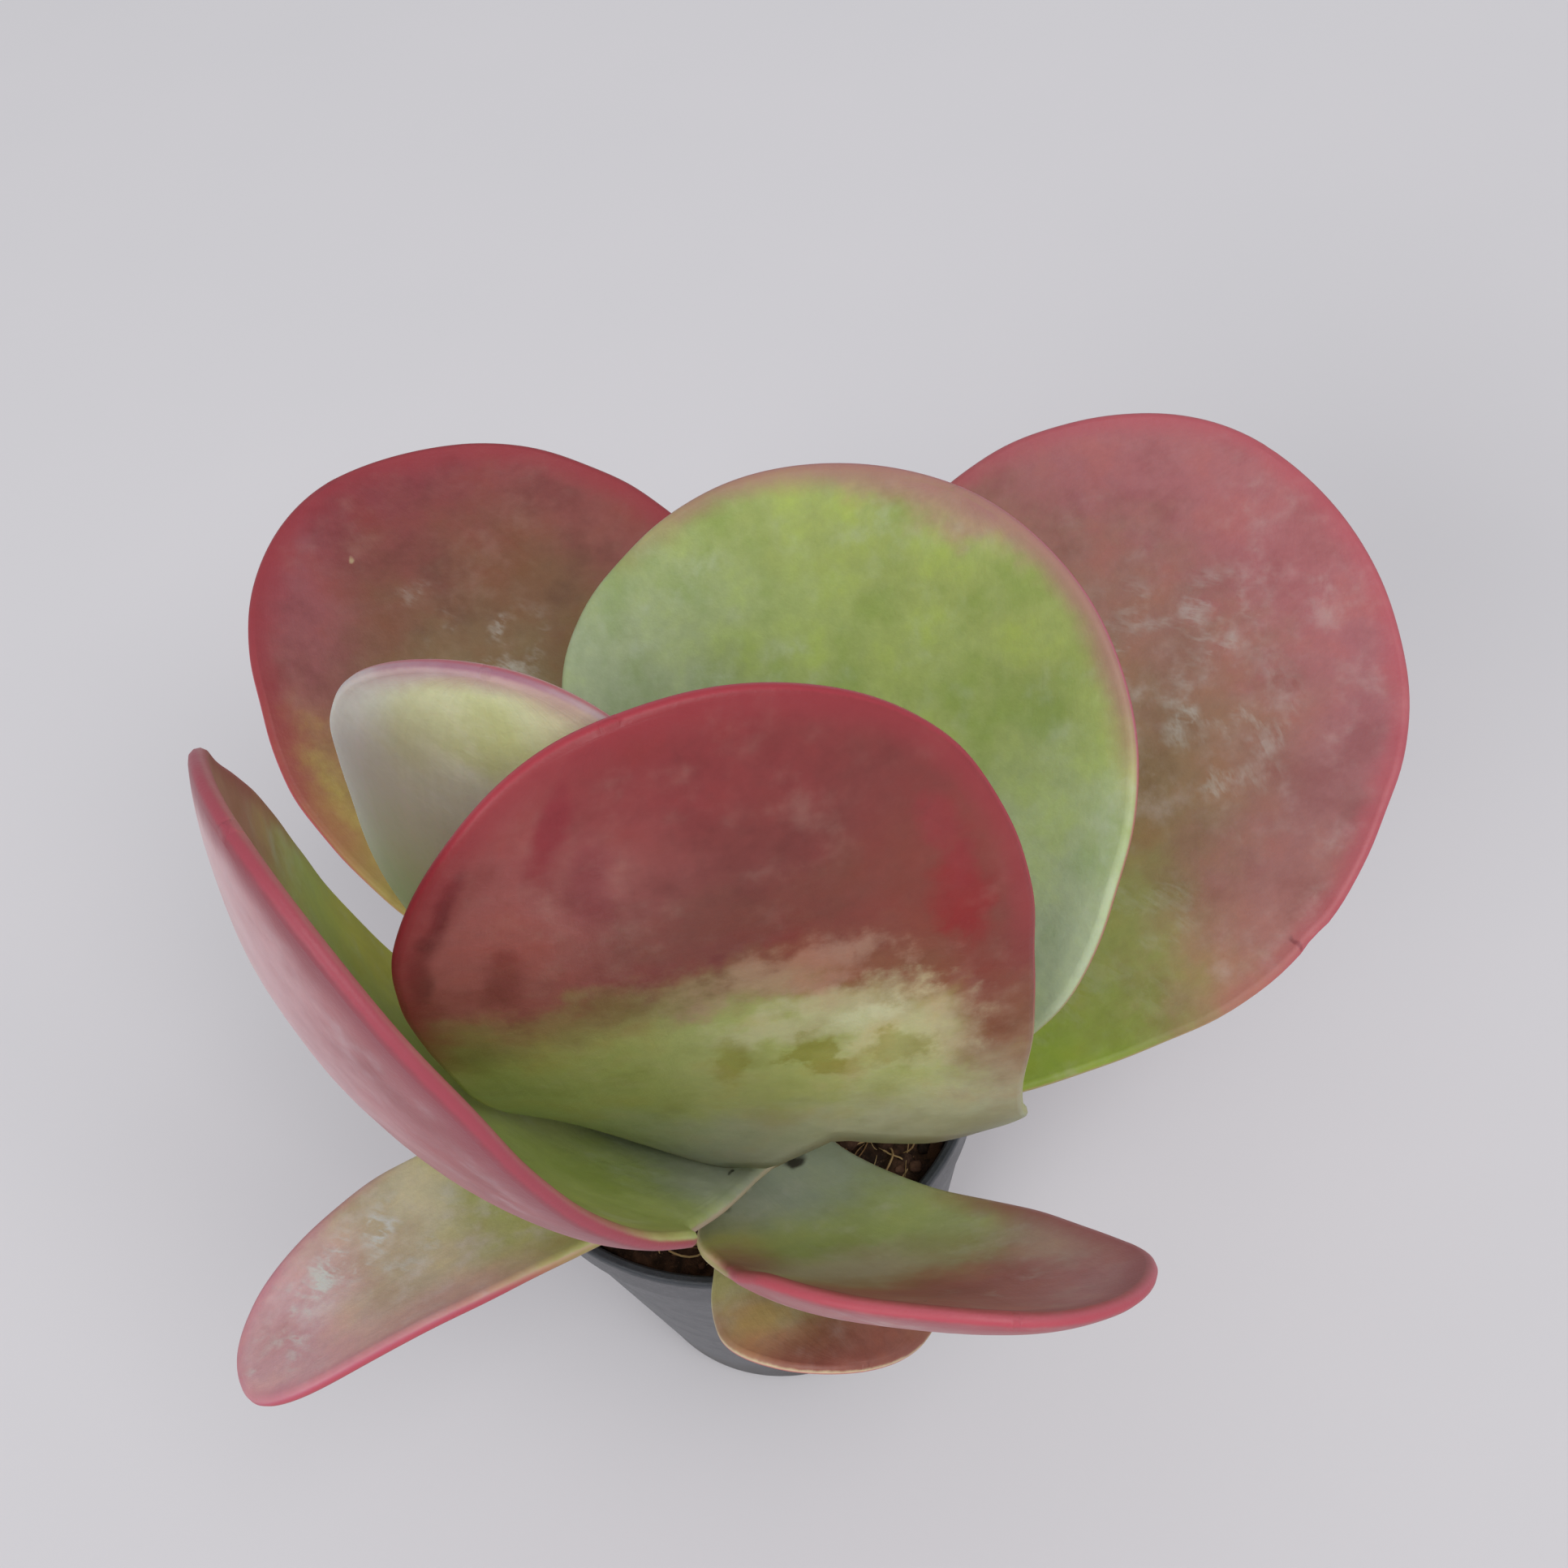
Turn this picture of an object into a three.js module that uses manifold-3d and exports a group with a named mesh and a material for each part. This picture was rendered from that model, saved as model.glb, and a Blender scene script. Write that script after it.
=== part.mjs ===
// A potted paddle plant: thick round leaves in crossed pairs on a short stem, in a small nursery pot.
// Millimetres, +Z up. The origin is the middle of the pot's flat base, on the surface it stands on,
// and -Y is the front.
import * as THREE from 'three';
import { mergeVertices } from 'three/addons/utils/BufferGeometryUtils.js';
import Module from 'manifold-3d';

const wasm = await Module();
wasm.setup();

// Driving dimensions of the pot.
const POT_HEIGHT = 50;
const RIM_RADIUS = 27.5;
const RIM_WIDTH = 1.1;
const RIM_BEAD = 1.3;
const BEAD_STEP = 0.45;
const COLLAR_HEIGHT = 4.8;
const COLLAR_STEP = 0.5;
const BASE_RADIUS = 19.5;
const BASE_BEVEL = 1;
const BODY_WALL = 0.9;
const FLOOR = 1.4;
const POT_SIDES = 64;
const DRAIN_HOLES = 4;
const DRAIN_RADIUS = 2.4;
const DRAIN_CIRCLE = 12.5;
const DRAIN_SIDES = 16;

// Driving dimensions of the soil and the stem.
const GAP = 0.3;
const SOIL_DROP = 4.6;
const SOIL_RELIEF = 0.8;
const SOIL_EDGE_DIP = 0.6;
const SOIL_RINGS = 10;
const SOIL_SIDES = 48;
const STEM_X = 0;
const STEM_Y = -12;
const STEM_RADIUS = 5;
const STEM_FOOT = 30;
const STEM_TOP = 66;
const STEM_SIDES = 24;

// Driving dimensions shared by the leaves.
const LEAF_STEPS = 15;
const LEAF_COLUMNS = 8;
const MARGIN_THICKNESS = 1.3;
const BASE_THICKNESS = 4.2;
const BELLY_THICKNESS = 3.2;
const BELLY_AT = 0.3;
const TIP_THICKNESS = 1.7;
const LEAF_END = 0.998;
const CLASP_END = 0.35;
const HEEL = 3;
const MARGIN_ROUND = 0.5;
const RIPPLE_SLANT = 0.2;

// One entry for each leaf: base is the middle of its foot, heading and rise are the way the foot
// points in degrees, sweep and lift are how far the midrib turns and climbs on its way to the tip,
// roll and twist turn the blade about the midrib, cup and clasp roll its sides up along the blade and
// at the foot, foot and half are half widths, widest is the fraction of the length with the full
// width, tip is the roundness of the end, lean puts more of the blade on one side of the midrib, body
// is the share of the common thickness, and the margin waves up and down by wave, ripples times over.
const LEAVES = {
  leaf_left_inner: {
    base: [-4.9, -12.6, 61.4], length: 71.5, half: 20.4, foot: 9.5,
    widest: 0.58, shoulder: 1.3, tip: 2, lean: -0.13,
    heading: 234.5, sweep: -2.5, rise: 76.5, lift: 21, roll: 12.5, twist: -3.5,
    cup: 26.5, clasp: 30, body: 0.95, wave: 0.3, ripples: 2.1, color: 0x9aa888,
  },
  leaf_young: {
    base: [1, -9.6, 63], length: 40, half: 15, foot: 7.5,
    widest: 0.58, shoulder: 1.3, tip: 2, lean: 0.05,
    heading: 54, sweep: 2, rise: 82, lift: 10, roll: -4, twist: 6,
    cup: 34, clasp: 30, body: 0.8, wave: 0.2, ripples: 1.7, color: 0x9fae7c,
  },
  leaf_back_inner: {
    base: [3, -10.4, 58.5], length: 66, half: 30.8, foot: 9.6,
    widest: 0.56, shoulder: 1.2, tip: 1.92, lean: 0.05,
    heading: 41, sweep: 0.5, rise: 62, lift: -17.5, roll: -2.5, twist: 9,
    cup: 15.5, clasp: 30, body: 1, wave: 0.4, ripples: 2.3, color: 0x9aa766,
  },
  leaf_front: {
    base: [2, -19, 58.9], length: 74.5, half: 24.5, foot: 11,
    widest: 0.61, shoulder: 0.65, tip: 2.1, lean: 0.12,
    heading: 260, sweep: 22.5, rise: 71.5, lift: 31, roll: -11, twist: 13.5,
    cup: 5, clasp: 17, body: 1, wave: 0.4, ripples: 2.3, color: 0x8d4a44,
  },
  leaf_left: {
    base: [-4.9, -13.9, 56.4], length: 87, half: 27.4, foot: 10,
    widest: 0.48, shoulder: 1.2, tip: 2.07, lean: -0.12,
    heading: 216.5, sweep: 9.5, rise: 43.5, lift: 60, roll: 12.5, twist: -32.5,
    cup: 31.5, clasp: 12, body: 1.1, wave: 0.4, ripples: 2.4, color: 0xb07c80,
  },
  leaf_front_right: {
    base: [0.7, -18.5, 51.2], length: 49.5, half: 18.5, foot: 9,
    widest: 0.71, shoulder: 1.45, tip: 1.77, lean: 0.04,
    heading: 301.5, sweep: 5, rise: 16.5, lift: 47.5, roll: -21, twist: -24.5,
    cup: 25, clasp: 6.5, body: 1.1, wave: 0.3, ripples: 2.2, color: 0x8e9a68,
  },
  leaf_back_left: {
    base: [-1.6, -5.8, 56.5], length: 80, half: 26.8, foot: 9.4,
    widest: 0.61, shoulder: 1.3, tip: 1.9, lean: -0.1,
    heading: 108.5, sweep: 13.5, rise: 28, lift: -4, roll: -4, twist: 10.5,
    cup: 17, clasp: 29.5, body: 1, wave: 0.4, ripples: 2.6, color: 0x98494f,
  },
  leaf_back_right: {
    base: [3.5, -9.5, 50.5], length: 88.5, half: 31.4, foot: 9.3,
    widest: 0.58, shoulder: 1.3, tip: 2, lean: -0.11,
    heading: 36.5, sweep: -5.5, rise: 26, lift: 2, roll: 1, twist: 14.5,
    cup: 11, clasp: 37.5, body: 1, wave: 0.4, ripples: 2.2, color: 0xb86e6a,
  },
  leaf_low_left: {
    base: [-6.2, -11.3, 53], length: 50.5, half: 11.3, foot: 9.3,
    widest: 0.57, shoulder: 1.65, tip: 2.35, lean: 0.09,
    heading: 203, sweep: 5.5, rise: 33, lift: -42.5, roll: 8, twist: 17,
    cup: 21.5, clasp: 30, body: 1, wave: 0.2, ripples: 1.6, color: 0x84905c,
  },
  leaf_low_front: {
    base: [0.9, -19.1, 49.7], length: 24.5, half: 11.3, foot: 6.6,
    widest: 0.65, shoulder: 1.9, tip: 2, lean: 0,
    heading: 296, sweep: -16, rise: 34, lift: -31.5, roll: -2.5, twist: -24,
    cup: -14.5, clasp: 28.5, body: 0.9, wave: 0.2, ripples: 1.5, color: 0x7d7048,
  },
  bud_left: {
    base: [-1.2, -11, 66.6], length: 15, half: 4.6, foot: 3.4,
    widest: 0.5, shoulder: 1.2, tip: 1.8, lean: 0,
    heading: 145, sweep: 0, rise: 78, lift: 14, roll: 0, twist: 0,
    cup: 40, clasp: 20, body: 0.5, wave: 0, ripples: 1, color: 0xa9b77c,
  },
  bud_right: {
    base: [1.2, -13, 66.6], length: 13.5, half: 4.4, foot: 3.4,
    widest: 0.5, shoulder: 1.2, tip: 1.8, lean: 0,
    heading: 325, sweep: 0, rise: 78, lift: 14, roll: 0, twist: 0,
    cup: 40, clasp: 20, body: 0.5, wave: 0, ripples: 1, color: 0xa9b77c,
  },
};

const { sin, cos, PI, abs, hypot } = Math;
const rad = THREE.MathUtils.degToRad;
const clamp = THREE.MathUtils.clamp;

function material(color, roughness) {
  return new THREE.MeshStandardMaterial({ color, roughness, metalness: 0 });
}

// Booleans.

function solidOf(geometry) {
  const bare = geometry.clone();
  bare.deleteAttribute('normal');
  bare.deleteAttribute('uv');
  const merged = mergeVertices(bare, 1e-5);
  const mesh = new wasm.Mesh({
    numProp: 3,
    vertProperties: new Float32Array(merged.attributes.position.array),
    triVerts: new Uint32Array(merged.index.array),
  });
  return new wasm.Manifold(mesh);
}

function geometryOf(solid) {
  const mesh = solid.getMesh();
  const geometry = new THREE.BufferGeometry();
  geometry.setAttribute('position', new THREE.BufferAttribute(mesh.vertProperties, 3));
  geometry.setIndex(new THREE.BufferAttribute(mesh.triVerts, 1));
  return geometry;
}

function largestPiece(solid) {
  const pieces = solid.decompose();
  return pieces.reduce((best, piece) => (piece.volume() > best.volume() ? piece : best));
}

function uprightCylinder(radius, bottom, top, x, y, sides) {
  const geometry = new THREE.CylinderGeometry(radius, radius, top - bottom, sides);
  geometry.rotateX(PI / 2);
  geometry.translate(x, y, (bottom + top) / 2);
  return geometry;
}

// Leaf shape. s runs from 0 at the foot to 1 at the tip, and across from -1 to 1 over the blade.

// The integral of a cosine or a sine whose angle runs evenly from start, at rate per unit of s.
function cosineRun(start, rate, s) {
  return abs(rate) < 1e-6 ? cos(start) * s : (sin(start + rate * s) - sin(start)) / rate;
}

function sineRun(start, rate, s) {
  return cosineRun(start - PI / 2, rate, s);
}

function midribPoint(leaf, s) {
  const heading = rad(leaf.heading);
  const sweep = rad(leaf.sweep);
  const rise = rad(leaf.rise);
  const lift = rad(leaf.lift);
  const ahead = cosineRun(rise + heading, lift + sweep, s) + cosineRun(rise - heading, lift - sweep, s);
  const aside = sineRun(rise + heading, lift + sweep, s) - sineRun(rise - heading, lift - sweep, s);
  const step = new THREE.Vector3(ahead / 2, aside / 2, sineRun(rise, lift, s));
  return new THREE.Vector3(...leaf.base).addScaledVector(step, leaf.length);
}

// Unit vectors at s: along the midrib, across the blade and out of its inner face.
function bladeFrame(leaf, s) {
  const heading = rad(leaf.heading + leaf.sweep * s);
  const rise = rad(leaf.rise + leaf.lift * s);
  const turn = rad(leaf.roll + leaf.twist * s);
  const along = new THREE.Vector3(cos(rise) * cos(heading), cos(rise) * sin(heading), sin(rise));
  const level = new THREE.Vector3(-sin(heading), cos(heading), 0);
  const across = level.applyAxisAngle(along, turn);
  const inward = new THREE.Vector3().crossVectors(along, across);
  return { along, across, inward };
}

function halfWidth(leaf, s) {
  if (s < leaf.widest) {
    const swell = sin((PI / 2) * (Math.max(s, 0) / leaf.widest)) ** leaf.shoulder;
    return leaf.foot + (leaf.half - leaf.foot) * swell;
  }
  const reach = (s - leaf.widest) / (1 - leaf.widest);
  return leaf.half * (1 - reach ** leaf.tip) ** (1 / leaf.tip);
}

function thickness(leaf, s, across) {
  const beyond = (s - BELLY_AT) / (1 - BELLY_AT);
  const ribThickness = s < BELLY_AT
    ? THREE.MathUtils.lerp(BASE_THICKNESS, BELLY_THICKNESS, clamp(s / BELLY_AT, 0, 1))
    : THREE.MathUtils.lerp(BELLY_THICKNESS, TIP_THICKNESS, beyond);
  return leaf.body * (MARGIN_THICKNESS + (ribThickness - MARGIN_THICKNESS) * (1 - across * across));
}

// A point of the blade's middle surface, with the direction out of its inner face and past its side.
function bladePoint(leaf, s, across, grow) {
  const frame = bladeFrame(leaf, s);
  const reach = across * (halfWidth(leaf, s) * (1 + leaf.lean * across) + grow);
  const clasp = clamp(1 - s / CLASP_END, 0, 1) ** 2;
  const bend = rad(leaf.cup) / leaf.half + (rad(leaf.clasp) / leaf.foot) * clasp + 1e-6;
  const angle = reach * bend;
  const phase = leaf.ripples * s + RIPPLE_SLANT * across;
  const ripple = leaf.wave * across ** 4 * sin(2 * PI * phase);
  const point = midribPoint(leaf, s);
  point.addScaledVector(frame.across, sin(angle) / bend);
  point.addScaledVector(frame.inward, (1 - cos(angle)) / bend + ripple);
  const inward = frame.inward.clone().multiplyScalar(cos(angle));
  inward.addScaledVector(frame.across, -sin(angle));
  const outward = frame.across.clone().multiplyScalar(cos(angle));
  outward.addScaledVector(frame.inward, sin(angle));
  return { point, inward, outward, along: frame.along };
}

// A closed blade: rings of points round the section from heel to tip, with a rounded margin. The heel
// is the part of the foot that reaches in to the stem.
function leafGeometry(leaf, grow = 0) {
  const count = LEAF_COLUMNS + 1;
  const ringSize = 2 * count + 2;
  const roundOff = MARGIN_ROUND * leaf.body * MARGIN_THICKNESS + grow;
  const positions = [];
  const push = (vector) => positions.push(vector.x, vector.y, vector.z);
  const face = (s, across, side) => {
    const { point, inward } = bladePoint(leaf, s, across, grow);
    return point.addScaledVector(inward, side * (thickness(leaf, s, across) / 2 + grow));
  };
  const edge = (s, across) => {
    const { point, outward } = bladePoint(leaf, s, across, grow);
    return point.addScaledVector(outward, across * roundOff);
  };
  const station = (i) => LEAF_END * sin((PI / 2) * (i / LEAF_STEPS));
  const stations = Array.from({ length: LEAF_STEPS + 1 }, (_, i) => station(i));
  stations.unshift(-(HEEL + grow) / leaf.length);
  const columns = Array.from({ length: count }, (_, j) => -1 + (2 * j) / LEAF_COLUMNS);
  for (const s of stations) {
    columns.forEach((across) => push(face(s, across, 1)));
    push(edge(s, 1));
    columns.toReversed().forEach((across) => push(face(s, across, -1)));
    push(edge(s, -1));
  }
  const index = [];
  const quad = (a, b, c, d) => index.push(a, d, c, a, c, b);
  for (let i = 0; i < stations.length - 1; i += 1) {
    for (let k = 0; k < ringSize; k += 1) {
      const next = (k + 1) % ringSize;
      const here = i * ringSize;
      quad(here + k, here + next, here + ringSize + next, here + ringSize + k);
    }
  }
  const opposite = (k) => 2 * count - k;
  const left = ringSize - 1;
  for (let j = 0; j < LEAF_COLUMNS; j += 1) {
    quad(j + 1, j, opposite(j), opposite(j + 1));
  }
  index.push(0, opposite(0), left);
  index.push(LEAF_COLUMNS, count, opposite(LEAF_COLUMNS));
  const last = (stations.length - 1) * ringSize;
  const nose = positions.length / 3;
  for (let j = 1; j < LEAF_COLUMNS; j += 1) {
    const { point, along } = bladePoint(leaf, LEAF_END, columns[j], grow);
    push(point.addScaledVector(along, roundOff));
  }
  const middle = (j) => {
    if (j === 0) return last + left;
    return j === LEAF_COLUMNS ? last + count : nose + j - 1;
  };
  for (let j = 0; j < LEAF_COLUMNS; j += 1) {
    quad(last + j, last + j + 1, middle(j + 1), middle(j));
    quad(middle(j), middle(j + 1), last + opposite(j + 1), last + opposite(j));
  }
  const geometry = new THREE.BufferGeometry();
  geometry.setAttribute('position', new THREE.Float32BufferAttribute(positions, 3));
  geometry.setIndex(index);
  return geometry;
}

// The pot.

const COLLAR_RADIUS = RIM_RADIUS - BEAD_STEP;
const COLLAR_FOOT = POT_HEIGHT - RIM_BEAD - COLLAR_HEIGHT;
const MOUTH_RADIUS = RIM_RADIUS - RIM_WIDTH;

function innerRadius(z) {
  const foot = BASE_RADIUS - BODY_WALL;
  return THREE.MathUtils.mapLinear(z, FLOOR, POT_HEIGHT, foot, MOUTH_RADIUS);
}

function potGeometry() {
  const profile = [
    [0, 0],
    [BASE_RADIUS - BASE_BEVEL, 0],
    [BASE_RADIUS, BASE_BEVEL],
    [COLLAR_RADIUS - COLLAR_STEP, COLLAR_FOOT],
    [COLLAR_RADIUS, COLLAR_FOOT],
    [COLLAR_RADIUS, POT_HEIGHT - RIM_BEAD],
    [RIM_RADIUS, POT_HEIGHT - RIM_BEAD],
    [RIM_RADIUS, POT_HEIGHT],
    [MOUTH_RADIUS, POT_HEIGHT],
    [innerRadius(FLOOR), FLOOR],
    [0, FLOOR],
  ].map(([r, z]) => new THREE.Vector2(r, z));
  const lathe = new THREE.LatheGeometry(profile, POT_SIDES);
  lathe.rotateX(PI / 2);
  let pot = solidOf(lathe);
  for (let i = 0; i < DRAIN_HOLES; i += 1) {
    const turn = (2 * PI * (i + 0.5)) / DRAIN_HOLES;
    const x = DRAIN_CIRCLE * cos(turn);
    const y = DRAIN_CIRCLE * sin(turn);
    pot = pot.subtract(solidOf(uprightCylinder(DRAIN_RADIUS, -1, FLOOR + 1, x, y, DRAIN_SIDES)));
  }
  return geometryOf(pot);
}

// The soil fills the pot to a little under its rim, and has a plain hole for the stem.

// Three crossing waves give the lumps, each with its pitches along X and Y and its share of the relief.
const SOIL_LUMPS = [
  { pitchX: 11, pitchY: 13, share: 0.5 },
  { pitchX: 5, pitchY: -7, share: 0.3 },
  { pitchX: 9, pitchY: 3.5, share: 0.2 },
];

function soilHeight(x, y) {
  const lump = ({ pitchX, pitchY, share }) => share * sin(2 * PI * (x / pitchX + y / pitchY));
  const lumps = SOIL_LUMPS.reduce((sum, wave) => sum + lump(wave), 0);
  const edge = (hypot(x, y) / MOUTH_RADIUS) ** 4;
  return POT_HEIGHT - SOIL_DROP + SOIL_RELIEF * lumps - SOIL_EDGE_DIP * edge;
}

function soilGeometry() {
  const positions = [];
  const index = [];
  const top = innerRadius(POT_HEIGHT - SOIL_DROP) - 2 * GAP;
  positions.push(0, 0, soilHeight(0, 0));
  const ring = (radius, height) => {
    for (let k = 0; k < SOIL_SIDES; k += 1) {
      const turn = (2 * PI * k) / SOIL_SIDES;
      const x = radius * cos(turn);
      const y = radius * sin(turn);
      positions.push(x, y, height(x, y));
    }
  };
  for (let i = 1; i <= SOIL_RINGS; i += 1) {
    ring((top * i) / SOIL_RINGS, soilHeight);
  }
  const bottom = FLOOR + GAP;
  ring(innerRadius(bottom) - GAP, () => bottom);
  positions.push(0, 0, bottom);
  const end = positions.length / 3 - 1;
  for (let k = 0; k < SOIL_SIDES; k += 1) {
    const next = (k + 1) % SOIL_SIDES;
    index.push(0, 1 + k, 1 + next);
    for (let i = 0; i < SOIL_RINGS; i += 1) {
      const here = 1 + i * SOIL_SIDES;
      const beyond = here + SOIL_SIDES;
      index.push(here + k, beyond + k, beyond + next, here + k, beyond + next, here + next);
    }
    index.push(end, end - SOIL_SIDES + next, end - SOIL_SIDES + k);
  }
  const geometry = new THREE.BufferGeometry();
  geometry.setAttribute('position', new THREE.Float32BufferAttribute(positions, 3));
  geometry.setIndex(index);
  return geometryOf(solidOf(geometry).subtract(solidOf(stemGeometry(GAP))));
}

function stemGeometry(grow = 0) {
  const bottom = STEM_FOOT - grow;
  const top = STEM_TOP + grow;
  return uprightCylinder(STEM_RADIUS + grow, bottom, top, STEM_X, STEM_Y, STEM_SIDES);
}

// Leaves are cut back where their feet would run into the soil, the stem or a leaf further in.
function leafGeometries() {
  const taken = [
    solidOf(stemGeometry(GAP)),
    solidOf(soilGeometry().translate(0, 0, GAP)),
  ];
  const geometries = {};
  for (const [name, leaf] of Object.entries(LEAVES)) {
    let blade = solidOf(leafGeometry(leaf));
    for (const other of taken) {
      if (blade.intersect(other).volume() > 0) {
        blade = largestPiece(blade.subtract(other));
      }
    }
    geometries[name] = geometryOf(blade);
    taken.push(solidOf(leafGeometry(leaf, GAP)));
  }
  return geometries;
}

function named(name, geometry, look) {
  const mesh = new THREE.Mesh(geometry, look);
  mesh.name = name;
  return mesh;
}

const plant = new THREE.Group();
plant.add(named('pot', potGeometry(), material(0x4c5057, 0.55)));
plant.add(named('soil', soilGeometry(), material(0x2e211a, 0.95)));
plant.add(named('stem', stemGeometry(), material(0x8a8f5e, 0.7)));
for (const [name, geometry] of Object.entries(leafGeometries())) {
  plant.add(named(name, geometry, material(LEAVES[name].color, 0.5)));
}

export default plant;
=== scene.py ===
"""A potted paddle plant: thick round leaves in crossed pairs on a short stem, in a small nursery pot.

Sizes are in millimetres and are turned into metres as each mesh is made. The origin is the middle of
the pot's base, +Z is up and -Y is the front.
"""

import logging
import math
import random
from dataclasses import dataclass, replace
from enum import Enum
from typing import Optional, Sequence, Union

import bmesh
import bpy
import numpy as np
from mathutils import Matrix, Vector
from mathutils import noise as field_noise
from mathutils.kdtree import KDTree


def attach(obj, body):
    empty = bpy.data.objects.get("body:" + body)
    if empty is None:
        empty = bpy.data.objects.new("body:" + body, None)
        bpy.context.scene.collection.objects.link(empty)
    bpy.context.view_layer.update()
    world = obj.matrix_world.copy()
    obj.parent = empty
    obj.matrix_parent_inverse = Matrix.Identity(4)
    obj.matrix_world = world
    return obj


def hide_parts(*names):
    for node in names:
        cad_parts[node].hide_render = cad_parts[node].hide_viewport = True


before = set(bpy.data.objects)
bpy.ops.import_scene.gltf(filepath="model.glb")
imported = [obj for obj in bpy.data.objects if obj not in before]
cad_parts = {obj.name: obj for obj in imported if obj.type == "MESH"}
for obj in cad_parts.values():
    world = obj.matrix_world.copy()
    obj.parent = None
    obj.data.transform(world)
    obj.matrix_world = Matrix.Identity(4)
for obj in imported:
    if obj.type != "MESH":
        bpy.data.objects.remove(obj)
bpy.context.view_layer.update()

LOG = logging.getLogger("paddle_plant")
MM = 0.001
BODY = "root"

Number = Union[float, bpy.types.NodeSocket]
Colour = Union[str, bpy.types.NodeSocket]
Sockets = dict[str, bpy.types.NodeSocket]


def linear(code: str) -> tuple[float, float, float, float]:
    """Turns a display colour into the linear colour that a socket takes.

    Args:
        code: Six hexadecimal digits, red first.

    Returns:
        Red, green, blue and alpha.
    """
    levels = [int(code[i:i + 2], 16) / 255 for i in (0, 2, 4)]
    red, green, blue = (v / 12.92 if v <= 0.04045 else ((v + 0.055) / 1.055) ** 2.4 for v in levels)
    return red, green, blue, 1.0


# Node wiring


@dataclass(frozen=True)
class Bump:
    """How strongly a fine relief shows, and how deep it is in millimetres."""

    strength: float = 0.5
    depth: float = 0.25


class Wiring:
    """Puts nodes in a tree and links or sets their inputs in one step."""

    def __init__(self, tree: bpy.types.NodeTree) -> None:
        """Keeps the tree that the nodes go into.

        Args:
            tree: A material's or a group's node tree.
        """
        self.tree = tree

    def feed(self, socket: bpy.types.NodeSocket, value: object) -> None:
        """Links a socket to an input, or sets the input's own value.

        Args:
            socket: The input.
            value: A socket, a colour code, a number or a vector.
        """
        if isinstance(value, bpy.types.NodeSocket):
            self.tree.links.new(value, socket)
        elif isinstance(value, str):
            socket.default_value = linear(value)
        else:
            socket.default_value = value

    def put(self, kind: str, inputs: Optional[dict] = None, **settings: object) -> bpy.types.Node:
        """Adds a node.

        Args:
            kind: The node's type.
            inputs: What goes into each input, by name or number.
            settings: The node's own settings.

        Returns:
            The node.
        """
        node = self.tree.nodes.new(kind)
        for name, value in settings.items():
            setattr(node, name, value)
        for key, value in (inputs or {}).items():
            self.feed(node.inputs[key], value)
        return node

    def sum(self, operation: str, *values: Number) -> bpy.types.NodeSocket:
        """Adds a Math node.

        Args:
            operation: The node's operation.
            values: Its inputs in order.

        Returns:
            The result.
        """
        return self.put("ShaderNodeMath", dict(enumerate(values)), operation=operation).outputs[0]

    def product(self, first: Number, *others: Number) -> bpy.types.NodeSocket:
        """Multiplies values one after another.

        Args:
            first: The first value.
            others: What it is multiplied by, in order.

        Returns:
            The result.
        """
        for other in others:
            first = self.sum("MULTIPLY", first, other)
        return first

    def rest(self, value: Number) -> bpy.types.NodeSocket:
        """Takes a value from 1."""
        return self.sum("SUBTRACT", 1.0, value)

    def signed(self, value: Number) -> bpy.types.NodeSocket:
        """Spreads a value from 0 to 1 over -1 to 1."""
        return self.sum("MULTIPLY_ADD", value, 2.0, -1.0)

    def vector(self, operation: str, place: bpy.types.NodeSocket, by: object) -> bpy.types.NodeSocket:
        """Adds a Vector Math node.

        Args:
            operation: The node's operation.
            place: The vector.
            by: The other vector, or the number that SCALE takes.

        Returns:
            The result.
        """
        inputs = {0: place, "Scale" if operation == "SCALE" else 1: by}
        return self.put("ShaderNodeVectorMath", inputs, operation=operation).outputs[0]

    def millimetres(self) -> bpy.types.NodeSocket:
        """Gives the object's own coordinates in millimetres."""
        return self.vector("SCALE", self.put("ShaderNodeTexCoord").outputs["Object"], 1 / MM)

    def attribute(self, name: str) -> bpy.types.NodeSocket:
        """Reads a number that the mesh keeps for each point."""
        return self.put("ShaderNodeAttribute", attribute_name=name, attribute_type="GEOMETRY").outputs["Fac"]

    def fade(self, value: Number, start: Number, end: Number) -> bpy.types.NodeSocket:
        """Goes smoothly from 0 at start to 1 at end.

        Args:
            value: What is tested.
            start: Where the result leaves 0.
            end: Where the result reaches 1.

        Returns:
            The result.
        """
        inputs = {"Value": value, "From Min": start, "From Max": end}
        node = self.put("ShaderNodeMapRange", inputs, interpolation_type="SMOOTHSTEP")
        return node.outputs["Result"]

    def fade_at(self, value: Number, middle: Number, spread: Number) -> bpy.types.NodeSocket:
        """Goes smoothly from 0 to 1 around a middle.

        Args:
            value: What is tested.
            middle: Where the result is halfway.
            spread: How far from the middle it leaves 0 and reaches 1.

        Returns:
            The result.
        """
        start = self.sum("SUBTRACT", middle, spread)
        return self.fade(value, start, self.sum("ADD", middle, spread))

    def ridges(self, noise: bpy.types.NodeSocket, level: float, width: float) -> bpy.types.NodeSocket:
        """Draws thin lines where a noise crosses a level.

        Args:
            noise: The noise.
            level: The level.
            width: How far from the level a line fades out.

        Returns:
            The lines' mask.
        """
        return self.fade(self.sum("ABSOLUTE", self.sum("SUBTRACT", noise, level)), width, 0.0)

    def blend(self, amount: Number, under: Colour, over: Colour, mode: str = "MIX") -> bpy.types.NodeSocket:
        """Lays one colour over another.

        Args:
            amount: How much of the upper colour is used.
            under: The lower colour.
            over: The upper colour.
            mode: The Mix node's blend type.

        Returns:
            The mixed colour.
        """
        inputs = {0: amount, 6: under, 7: over}
        return self.put("ShaderNodeMix", inputs, data_type="RGBA", blend_type=mode).outputs[2]

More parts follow.
